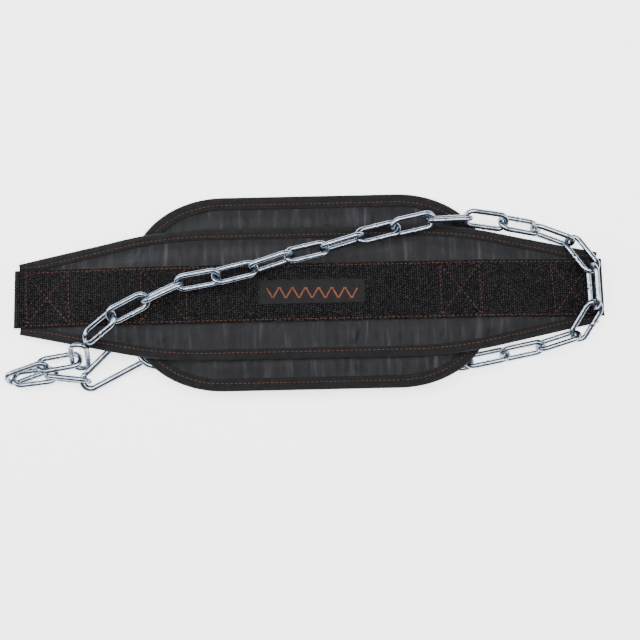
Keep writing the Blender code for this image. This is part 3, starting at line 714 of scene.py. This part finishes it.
def belt_path(side, inset):
    xs = np.linspace(-BELT_LENGTH / 2, BELT_LENGTH / 2, 240)
    ys = side * (belt_half_height(xs) - inset)
    path = list(zip(xs, ys))
    return path if side < 0 else path[::-1]


def belt_leg(x):
    room = float(belt_half_height(x)) - WEB_WIDTH / 2 - LAYER_GAP
    return min(BELT_TAPE_LEG, room)


# Stitches

THREAD_RADIUS = 0.00027
THREAD_SIDES = 6
STITCH_SHARE = 0.68
STITCH_START = 0.3
STITCH_DRIFT = 0.00012
STITCH_PROBE = 0.0004
# Share of a stitch's length, share of the thread's radius, and rise in radii
STITCH_SECTIONS = (
    (0.00, 0.35, -1.10),
    (0.12, 0.90, -0.10),
    (0.50, 1.00, 0.35),
    (0.88, 0.90, -0.10),
    (1.00, 0.35, -1.10),
)


def plan_heading(ring, travel, at):
    """Unit direction of a plan path at a distance along it."""
    ahead = [np.interp(at + STITCH_PROBE, travel, ring[:, axis]) for axis in range(2)]
    behind = [np.interp(at - STITCH_PROBE, travel, ring[:, axis]) for axis in range(2)]
    x = float(ahead[0]) - float(behind[0])
    y = float(ahead[1]) - float(behind[1])
    size = math.hypot(x, y) or 1.0
    return x / size, y / size


def stitch_mesh(path, closed, height_at, seed):
    """Small thread capsules along a plan path, each dipping into the cloth at both ends."""
    source = random.Random(seed)
    path = np.asarray(path, float)
    ring = np.vstack([path, path[:1]]) if closed else path
    lengths = np.hypot(*np.diff(ring, axis=0).T)
    travel = np.concatenate([[0.0], np.cumsum(lengths)])
    stitches = []
    start = STITCH_START * STITCH_PITCH
    while start + STITCH_PITCH * STITCH_SHARE < travel[-1]:
        length = STITCH_PITCH * STITCH_SHARE * source.uniform(0.88, 1.06)
        drift = source.uniform(-STITCH_DRIFT, STITCH_DRIFT)
        rings = []
        for share, size, dip in STITCH_SECTIONS:
            at = start + share * length
            px = float(np.interp(at, travel, ring[:, 0]))
            py = float(np.interp(at, travel, ring[:, 1]))
            along_x, along_y = plan_heading(ring, travel, at)
            side = Vector((-along_y, along_x, 0.0))
            centre = Vector((px, py, float(height_at(px, py)) + dip * THREAD_RADIUS)) + side * drift
            rings.append(circle(centre, side, Vector((0.0, 0.0, 1.0)), THREAD_RADIUS * size, THREAD_SIDES))
        stitches.append(swept_mesh(rings, False))
        start += STITCH_PITCH
    return join_parts(stitches)


def join_stitches(name, lines, nodes):
    rows = [stitch_mesh(*line, seed) for seed, line in enumerate(lines, start=1)]
    vertices, faces = join_parts(rows)
    return add_piece(name, vertices, faces, nodes)


BACK_STITCH_INSET = 0.0058
BELT_STITCH_INSET = 0.0052
THREAD_SINK = 0.0001
STITCH_END_GAP = 0.004


def back_tape_top(x, y):
    return back_middle(x, y) + SEAM_THICKNESS / 2 + WRAP - THREAD_SINK


def belt_tape_top(x, y):
    return belt_middle(x, y) + SEAM_THICKNESS / 2 + WRAP - THREAD_SINK


def belt_stitch_path(side):
    """The seam's stitches, which stay on the tape where the belt is narrow."""
    half = BELT_LENGTH / 2 - STITCH_END_GAP
    xs = np.linspace(-half, half, 200)
    room = belt_half_height(xs) - WEB_WIDTH / 2 - LAYER_GAP
    ys = side * (belt_half_height(xs) - np.minimum(BELT_STITCH_INSET, room * 0.6))
    return list(zip(xs, ys))


# Corners of the four sewn boxes on the webbing: lower left, lower right, upper right, upper left
SEWN_BOXES = (
    ((-0.2653, -0.0240), (-0.2237, -0.0244), (-0.2247, 0.0248), (-0.2665, 0.0246)),
    ((-0.1551, -0.0242), (-0.1125, -0.0244), (-0.1129, 0.0246), (-0.1550, 0.0248)),
    ((0.1228, -0.0244), (0.1603, -0.0246), (0.1587, 0.0236), (0.1226, 0.0238)),
    ((0.2318, -0.0242), (0.2663, -0.0246), (0.2659, 0.0238), (0.2275, 0.0240)),
)
WEB_STITCH_Y = 0.0248


def web_stitch_lines():
    """Both edge rows, and the outlines of the sewn boxes."""
    half = BELT_LENGTH / 2 - STITCH_END_GAP
    xs = np.linspace(-half, half, 120)
    rows = [([(x, side * WEB_STITCH_Y) for x in xs], False, web_top) for side in (-1, 1)]
    for corners in SEWN_BOXES:
        lower_left, lower_right, upper_right, upper_left = corners
        rows.append(([lower_left, upper_left], False, web_top))
        rows.append(([lower_right, upper_right], False, web_top))
    return rows


def cross_stitch_lines():
    rows = []
    for lower_left, lower_right, upper_right, upper_left in SEWN_BOXES:
        rows.append(([lower_left, upper_right], False, web_top))
        rows.append(([upper_left, lower_right], False, web_top))
    return rows


# Webbing strap

FOLD_STEPS = 14
RIPPLE_HEIGHT = 0.00006


def make_webbing():
    """One strip from the left tail, round the left tip, across the top and round the right tip."""
    ys = np.concatenate([[-1.0, -0.975], np.linspace(-0.92, 0.92, 31), [0.975, 1.0]]) * WEB_WIDTH / 2
    tip = BELT_LENGTH / 2
    tail_xs = np.linspace(tip - WEB_TAIL, tip, 24)
    front_xs = np.linspace(-tip, tip, 280)
    edge_round = 0.0005 * smooth((np.abs(ys) - WEB_WIDTH / 2 * 0.93) / (WEB_WIDTH / 2 * 0.07))

    def fold(side):
        """Rows round one tip, from the top to the underside, as pairs of inner and outer."""
        pairs = []
        above = belt_top(side * tip, ys) + GAP
        below = belt_bottom(side * tip, ys) - TAIL_GAP
        middle = (above + below) / 2
        rise = (above - below) / 2 + WEB_LOOP_SWELL
        reach = WEB_REACH - WEB_THICKNESS - WEB_TIP_LEAN * (ys + WEB_WIDTH / 2)
        for step in range(FOLD_STEPS + 1):
            turn = math.pi / 2 - math.pi * step / FOLD_STEPS
            pair = []
            for thickness in (0.0, WEB_THICKNESS):
                x = side * (tip + (reach + thickness) * math.cos(turn))
                z = middle + (rise + thickness) * math.sin(turn)
                pair.append(np.stack([x, ys, z], axis=1))
            pairs.append(pair)
        return pairs

    def tail(side):
        """Rows of one sewn tail under the belt, from the tip inward."""
        pairs = []
        for x in tail_xs[::-1][1:]:
            level = belt_bottom(side * x, ys) - TAIL_GAP
            place = np.full_like(ys, side * x)
            pairs.append([np.stack([place, ys, level - down], axis=1) for down in (0.0, WEB_THICKNESS)])
        return pairs

    pairs = tail(-1)[::-1] + fold(-1)[::-1]
    for x in front_xs[3:-3]:
        base = belt_top(x, ys) + GAP
        ripple = RIPPLE_HEIGHT * math.sin(x * 800.0)
        place = np.full_like(ys, x)
        face = base + WEB_THICKNESS - edge_round + ripple
        pairs.append([np.stack([place, ys, base], axis=1), np.stack([place, ys, face], axis=1)])
    pairs += fold(1) + tail(1)
    sections = [np.concatenate([low, high[::-1]]) for low, high in pairs]
    vertices, faces = swept_mesh(sections, False)
    add_piece("webbing_weave", vertices, faces, WEBBING, ("webbing_strap",))


# Label patch with a plain zigzag ornament

LABEL_GAP = GAP * 0.3
LABEL_COLUMNS = 80
LABEL_ROWS = 24
LABEL_EDGE_SHARE = 0.45
LABEL_EDGE_WIDTH = 0.0012
LABEL_SEAM_DEPTH = 0.0003
LABEL_SEAM_INSET = 0.0022
LABEL_SEAM_WIDTH = 0.0007
ORNAMENT_LENGTH = 0.0850
ORNAMENT_HEIGHT = 0.0086
ORNAMENT_PERIODS = 7
ORNAMENT_STROKE = 0.0014
ORNAMENT_LIFT = 0.00035
ORNAMENT_LEAN = -0.0180
ORNAMENT_DROP = -0.0012
BAR_HALF = 0.0016
CORNER_GAP = 0.0006
STROKE_PROFILE = (
    (-0.5, -0.0002),
    (-0.5, 0.0001),
    (-0.3, ORNAMENT_LIFT),
    (0.3, ORNAMENT_LIFT),
    (0.5, 0.0001),
    (0.5, -0.0002),
)


def make_label():
    centre_x, centre_y = LABEL_CENTRE
    xs = np.linspace(centre_x - LABEL_LENGTH / 2, centre_x + LABEL_LENGTH / 2, LABEL_COLUMNS)
    shares = np.linspace(-1.0, 1.0, LABEL_ROWS)
    x, share = np.meshgrid(xs, shares, indexing="ij")
    y = centre_y + share * LABEL_HEIGHT / 2
    bottom = web_top(x, y) + LABEL_GAP
    edge = np.minimum(LABEL_HEIGHT / 2 - np.abs(y - centre_y), LABEL_LENGTH / 2 - np.abs(x - centre_x))
    rounding = LABEL_EDGE_SHARE + (1.0 - LABEL_EDGE_SHARE) * smooth(edge / LABEL_EDGE_WIDTH)
    top = bottom + LABEL_THICKNESS * rounding
    top -= LABEL_SEAM_DEPTH * np.exp(-((edge - LABEL_SEAM_INSET) / LABEL_SEAM_WIDTH) ** 2)
    vertices, faces = slab_mesh(x, y, bottom, top)
    add_piece("label_patch_cloth", vertices, faces, LABEL, ("label_patch",))


def label_top(x, y):
    return web_top(x, y) + LABEL_GAP + LABEL_THICKNESS


def stroke_mesh(start, end, width):
    """One raised bar between two plan points, with a rounded back."""
    start = Vector(start)
    end = Vector(end)
    along = (end - start).normalized()
    side = Vector((-along.y, along.x))
    sections = []
    count = 7
    for step in range(count):
        point = start.lerp(end, step / (count - 1))
        section = []
        for reach, rise in STROKE_PROFILE:
            place = point + side * reach * width
            section.append((place.x, place.y, float(label_top(place.x, place.y)) + rise))
        sections.append(section)
    return swept_mesh(sections, False)


def make_ornament():
    """A zigzag between two rows of short bars, in the thread's colour."""
    centre_x, centre_y = LABEL_CENTRE
    centre_y += ORNAMENT_DROP
    half = ORNAMENT_LENGTH / 2
    step = ORNAMENT_LENGTH / (2 * ORNAMENT_PERIODS)
    rise = ORNAMENT_HEIGHT / 2
    strokes = []

    def point(along, height):
        return (centre_x + along, centre_y + height + ORNAMENT_LEAN * along)

    def bar(middle, height):
        strokes.append((point(middle - BAR_HALF, height), point(middle + BAR_HALF, height)))

    for index in range(2 * ORNAMENT_PERIODS):
        side = 1 if index % 2 else -1
        left = -half + index * step
        strokes.append((point(left + CORNER_GAP, -side * rise), point(left + step - CORNER_GAP, side * rise)))
    for index in range(ORNAMENT_PERIODS):
        bar(-half + (2 * index + 1) * step, -rise)
        if index:
            bar(-half + 2 * index * step, rise)
    vertices, faces = join_parts(stroke_mesh(start, end, ORNAMENT_STROKE) for start, end in strokes)
    add_piece("label_ornament", vertices, faces, ORNAMENT_THREAD)


# Chain

WELD_LENGTH = 0.0030
WELD_SWELL = 0.00030
WELD_NECK = 0.00027
WELD_NECK_WIDTH = 0.0005
WIRE_UNEVENNESS = 0.006
LINK_SIDES = 18
BEND_STEPS = 14
LEG_STEPS = 22


def link_sections(weld_leg, seed):
    """Round wire along a stadium, with the weld's swelling in the middle of one leg."""
    radius = (LINK_WIDTH - WIRE) / 2
    bend = LINK_INSIDE / 2 + WIRE / 2 - radius
    path = []
    for leg in (1, -1):
        for step in range(LEG_STEPS):
            x = leg * (bend - 2 * bend * step / LEG_STEPS)
            path.append((Vector((x, leg * radius, 0.0)), Vector((0.0, leg, 0.0)), leg, x))
        for step in range(BEND_STEPS):
            turn = math.pi / 2 + math.pi * step / BEND_STEPS
            if leg < 0:
                turn += math.pi
            out = Vector((math.cos(turn), math.sin(turn), 0.0))
            centre = Vector((-leg * bend, 0.0, 0.0))
            path.append((centre + out * radius, out, 0, 0.0))
    sections = []
    for centre, out, leg, x in path:
        size = WIRE / 2
        if leg == weld_leg:
            size += WELD_SWELL * math.exp(-(x / WELD_LENGTH * 1.7) ** 2)
            size -= WELD_NECK * math.exp(-((abs(x) - WELD_LENGTH * 0.75) / WELD_NECK_WIDTH) ** 2)
        size *= 1.0 + WIRE_UNEVENNESS * noise.noise(Vector((centre.x * 300.0, centre.y * 300.0, seed)))
        sections.append(circle(centre, out, Vector((0.0, 0.0, 1.0)), size, LINK_SIDES))
    return sections


def node_pose(node):
    """Pose of a link from its solid: long axis, wide axis and normal through its middle."""
    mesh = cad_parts[node].data
    points = np.empty(len(mesh.vertices) * 3)
    mesh.vertices.foreach_get("co", points)
    points = points.reshape(-1, 3)
    unique = np.unique(np.round(points, 6), axis=0)
    middle = unique.mean(axis=0)
    axes = np.linalg.svd(unique - middle, full_matrices=False)[2]
    along = Vector(axes[0])
    across = Vector(axes[1])
    if along.x < 0.0:
        along = -along
    if across.y < 0.0:
        across = -across
    normal = along.cross(across)
    rotation = Matrix((along, across, normal)).transposed().to_4x4()
    return Matrix.Translation(Vector(middle) - SHIFT) @ rotation


# Which leg of each link carries the weld: 1 for the one further up the picture
WELD_LEGS = (
    1, -1, 1, -1, 1, -1, 1, -1, 1, 1, -1, -1, -1, -1, 1, -1,
    1, -1, 1, -1, 1, -1, 1, -1, 1, -1, -1, 1, 1, -1, 1, -1,
)


def make_chain():
    for number, weld_leg in enumerate(WELD_LEGS, start=1):
        node = f"chain_link_{number:02d}"
        vertices, faces = swept_mesh(link_sections(weld_leg, number * 3.7), True)
        pose = node_pose(node)
        lowest = min((pose @ Vector(vertex)).z for vertex in vertices)
        lift = Matrix.Translation((0.0, 0.0, max(0.0, -lowest)))
        add_piece(f"{node}_steel", vertices, faces, STEEL, (node,), matrix=lift @ pose)


# Snap clips

def clip_slope():
    """Angle between a clip's straight side and its long axis."""
    return math.asin((CLIP_WIDE_RADIUS - CLIP_SMALL_RADIUS) / CLIP_CENTRES)


def gate_frame():
    slope = clip_slope()
    start = Vector((-CLIP_SMALL_RADIUS * math.sin(slope), CLIP_SMALL_RADIUS * math.cos(slope), 0.0))
    return Matrix.Translation(start) @ Matrix.Rotation(slope, 4, "Z")


def clip_pose(small_end, heading, climb, lean):
    turn = Matrix.Rotation(math.radians(heading), 4, "Z")
    pitch = Matrix.Rotation(-math.radians(climb), 4, "Y")
    roll = Matrix.Rotation(math.radians(lean), 4, "X")
    return Matrix.Translation(small_end) @ turn @ pitch @ roll


def clip_wire_points():
    slope = clip_slope()
    line = gate_frame()
    points = []
    for step in range(3):
        points.append(line @ Vector((GATE_START + GATE_LENGTH + LATCH_GAP + step * 0.0008, 0.0, 0.0)))
    for step in range(33):
        turn = math.pi / 2 + slope - (math.pi + 2 * slope) * step / 32
        points.append(Vector((
            CLIP_CENTRES + CLIP_WIDE_RADIUS * math.cos(turn), CLIP_WIDE_RADIUS * math.sin(turn), 0.0)))
    straight_end = Vector((-CLIP_SMALL_RADIUS * math.sin(slope), -CLIP_SMALL_RADIUS * math.cos(slope), 0.0))
    straight_start = points[-1]
    for step in range(1, 14):
        points.append(straight_start.lerp(straight_end, step / 14))
    for step in range(23):
        turn = -math.pi / 2 - slope - (math.pi - 2 * slope) * step / 22
        points.append(Vector((CLIP_SMALL_RADIUS * math.cos(turn), CLIP_SMALL_RADIUS * math.sin(turn), 0.0)))
    points.append(line @ Vector((HINGE_REACH, 0.0, 0.0)))
    return points


# Shares of the wire's radius at a rounded end, and the step between them
END_SIZES = (0.72, 0.93)
END_STEP = 0.00028
WIRE_SIDES = 20


def wire_sections(points, radius):
    """Round wire through points of a plane path, its ends rounded over."""
    sections = []
    last = len(points) - 1
    for index, point in enumerate(points):
        tangent = (points[min(last, index + 1)] - points[max(0, index - 1)]).normalized()
        out = Vector((tangent.y, -tangent.x, 0.0))
        up = Vector((0.0, 0.0, 1.0))
        sizes = [(0.0, 1.0)]
        if index == 0:
            sizes = [(0.0, END_SIZES[0]), (END_STEP, END_SIZES[1])]
        if index == last:
            sizes = [(-END_STEP, END_SIZES[1]), (0.0, END_SIZES[0])]
        for shift, size in sizes:
            sections.append(circle(point + tangent * shift, out, up, radius * size, WIRE_SIDES))
    return sections


def helper_object(name, mesh, matrix):
    made = bpy.data.objects.new(name, mesh)
    bpy.context.scene.collection.objects.link(made)
    made.matrix_world = matrix
    return made


def bevelled_tool(name, bm, edges, bevel, matrix):
    if bevel:
        bmesh.ops.bevel(bm, geom=edges, offset=bevel, segments=2, affect="EDGES", profile=0.5)
    mesh = bpy.data.meshes.new(name)
    bm.to_mesh(mesh)
    bm.free()
    return helper_object(name, mesh, matrix)


def box_tool(name, matrix, size, bevel):
    bm = bmesh.new()
    bmesh.ops.create_cube(bm, size=1.0, matrix=Matrix.Diagonal((*size, 1.0)))
    return bevelled_tool(name, bm, bm.edges[:], bevel, matrix)


def rod_tool(name, matrix, radius, length, bevel):
    bm = bmesh.new()
    bmesh.ops.create_cone(bm, cap_ends=True, segments=24, radius1=radius, radius2=radius, depth=length)
    rims = [edge for edge in bm.edges if abs(edge.verts[0].co.z - edge.verts[1].co.z) < 1e-7]
    return bevelled_tool(name, bm, rims, bevel, matrix)


def boolean_mesh(target, tools):
    """The target's mesh with every tool joined or cut, and all helpers removed."""
    for tool, operation in tools:
        modifier = target.modifiers.new(tool.name, "BOOLEAN")
        modifier.operation = operation
        modifier.solver = "EXACT"
        modifier.object = tool
    bpy.context.view_layer.update()
    depsgraph = bpy.context.evaluated_depsgraph_get()
    mesh = bpy.data.meshes.new_from_object(target.evaluated_get(depsgraph))
    for tool, operation in tools:
        bpy.data.objects.remove(tool)
    bpy.data.objects.remove(target)
    return mesh


def smooth_by_angle(piece, degrees=38.0):
    """Sharp edges stay sharp where faces meet at more than the angle."""
    bm = bmesh.new()
    bm.from_mesh(piece.data)
    limit = math.radians(degrees)
    for edge in bm.edges:
        edge.smooth = len(edge.link_faces) == 2 and edge.calc_face_angle(0.0) < limit
    bm.to_mesh(piece.data)
    bm.free()


TONGUE_BEVEL = 0.0003
TONGUE_ROOT = WIRE / 4
RIVET_HEAD = 0.00035
RIVET_BEVEL = 0.0002


def make_clip(number, pose):
    """A clip's bent wire with its rivet, and the gate that rides on its own body."""
    line = gate_frame()
    gate_end = GATE_START + GATE_LENGTH
    still = Matrix.Identity(4)
    vertices, faces = swept_mesh(wire_sections(clip_wire_points(), CLIP_WIRE / 2), False)
    body = helper_object("body", closed_mesh("body", vertices, faces), still)
    hinge_length = RIVET_FROM_BEND + TONGUE_WIDTH / 2 - HINGE_REACH + TONGUE_ROOT
    hinge_middle = HINGE_REACH - TONGUE_ROOT + hinge_length / 2
    latch_length = TONGUE_LENGTH + LATCH_GAP + TONGUE_ROOT
    latch_middle = gate_end + LATCH_GAP + TONGUE_ROOT - latch_length / 2
    tools = [
        (box_tool("hinge_tongue", line @ Matrix.Translation((hinge_middle, 0, 0)),
                  (hinge_length, TONGUE_WIDTH, TONGUE_THICKNESS), TONGUE_BEVEL), "UNION"),
        (box_tool("latch_tongue", line @ Matrix.Translation((latch_middle, 0, 0)),
                  (latch_length, TONGUE_WIDTH, TONGUE_THICKNESS), TONGUE_BEVEL), "UNION"),
        (rod_tool("rivet", line @ Matrix.Translation((RIVET_FROM_BEND, 0, 0)),
                  RIVET_RADIUS, CLIP_WIRE + 2 * RIVET_HEAD, RIVET_BEVEL), "UNION"),
    ]
    piece = place_mesh(
        f"clip_{number}_wire", boolean_mesh(body, tools), STEEL, (f"clip_{number}_body",), matrix=pose)
    smooth_by_angle(piece)

    hinge = line @ Matrix.Translation((RIVET_FROM_BEND, 0, 0))
    rod_start = GATE_START - RIVET_FROM_BEND
    rod_end = gate_end - RIVET_FROM_BEND
    rod_points = [Vector((rod_start + (rod_end - rod_start) * step / 20, 0.0, 0.0)) for step in range(21)]
    vertices, faces = swept_mesh(wire_sections(rod_points, CLIP_WIRE / 2), False)
    gate = helper_object("gate", closed_mesh("gate", vertices, faces), still)
    slot_size = (SLOT_DEPTH * 2, CLIP_WIRE * 2, TONGUE_THICKNESS + 2 * GAP)
    tools = [
        (box_tool("slot", Matrix.Translation((place - RIVET_FROM_BEND, 0, 0)), slot_size, 0.0), "DIFFERENCE")
        for place in (GATE_START, gate_end)]
    tools.append((rod_tool("hole", still, RIVET_RADIUS + GAP * 0.4, CLIP_WIRE * 2, 0.0), "DIFFERENCE"))
    piece = place_mesh(
        f"clip_{number}_gate_rod", boolean_mesh(gate, tools), STEEL, (f"clip_{number}_gate",),
        body=f"gate_{number}", matrix=pose @ hinge)
    smooth_by_angle(piece)


# Floor and light

def make_floor():
    mesh = bpy.data.meshes.new("floor")
    size = 6.0
    corners = [(-size, -size, 0), (size, -size, 0), (size, size, 0), (-size, size, 0)]
    mesh.from_pydata(corners, [], [(0, 1, 2, 3)])
    material = bpy.data.materials.new("floor")
    material.use_nodes = True
    shader = material.node_tree.nodes["Principled BSDF"]
    shader.inputs["Base Color"].default_value = (0.95, 0.95, 0.95, 1.0)
    shader.inputs["Roughness"].default_value = 0.9
    shader.inputs["Specular IOR Level"].default_value = 0.1
    shader.inputs["Emission Color"].default_value = (1.0, 1.0, 1.0, 1.0)
    shader.inputs["Emission Strength"].default_value = 2.0
    mesh.materials.append(material)
    floor = bpy.data.objects.new("floor", mesh)
    bpy.context.scene.collection.objects.link(floor)


# Name, place, size and power of each lamp
SOFTBOXES = (
    ("top_softbox", (0.0, 0.35, 1.9), (2.2, 1.4), 74.0),
    ("left_softbox", (-1.6, 0.3, 1.1), (0.9, 1.4), 34.0),
    ("right_softbox", (1.6, -0.2, 1.2), (0.8, 1.2), 24.0),
)


def make_light(name, place, aim, size, power):
    light = bpy.data.lights.new(name, "AREA")
    light.shape = "RECTANGLE"
    light.size, light.size_y = size
    light.energy = power
    lamp = bpy.data.objects.new(name, light)
    bpy.context.scene.collection.objects.link(lamp)
    lamp.location = place
    lamp.rotation_euler = (Vector(aim) - Vector(place)).to_track_quat("-Z", "Y").to_euler()


def make_world():
    world = bpy.data.worlds.new("studio")
    bpy.context.scene.world = world
    world.use_nodes = True
    tree = world.node_tree
    background = tree.nodes["Background"]
    place = tree.nodes.new("ShaderNodeTexCoord")
    split = tree.nodes.new("ShaderNodeSeparateXYZ")
    ramp = tree.nodes.new("ShaderNodeValToRGB")
    tree.links.new(place.outputs["Generated"], split.inputs[0])
    tree.links.new(split.outputs[2], ramp.inputs[0])
    stops = ((0.0, 0.20), (0.25, 0.06), (0.60, 0.05), (0.85, 0.22), (1.0, 0.45))
    elements = ramp.color_ramp.elements
    while len(elements) < len(stops):
        elements.new(0.5)
    for element, (position, value) in zip(elements, stops):
        element.position = position
        element.color = (value * 0.97, value * 0.99, value, 1.0)
    tree.links.new(ramp.outputs[0], background.inputs["Color"])
    background.inputs["Strength"].default_value = 1.25


make_back_pad()
make_tape(
    "back_pad_binding_tape", back_path(0.0), True, lambda x: BACK_TAPE_LEG, back_middle,
    ("back_pad_binding",))
make_belt_pad()
for side, word in ((-1, "lower"), (1, "upper")):
    make_tape(
        f"belt_binding_{word}_tape", belt_path(side, 0.0), False, belt_leg, belt_middle,
        (f"belt_binding_{word}",))
make_webbing()
make_label()
make_ornament()
join_stitches("back_pad_stitches", [(back_path(BACK_STITCH_INSET), True, back_tape_top)], SEAM_THREAD)
belt_lines = [(belt_stitch_path(side), False, belt_tape_top) for side in (-1, 1)]
join_stitches("belt_stitches", belt_lines, SEAM_THREAD)
join_stitches("webbing_stitches", web_stitch_lines(), SEAM_THREAD)
join_stitches("webbing_cross_stitches", cross_stitch_lines(), BOX_THREAD)
make_chain()
for clip_number, (small_end, heading, climb, lean) in enumerate(CLIP_POSES, start=1):
    make_clip(clip_number, clip_pose(small_end, heading, climb, lean))
make_floor()
make_world()
for name, place, size, power in SOFTBOXES:
    make_light(name, place, (0.0, 0.0, 0.0), size, power)
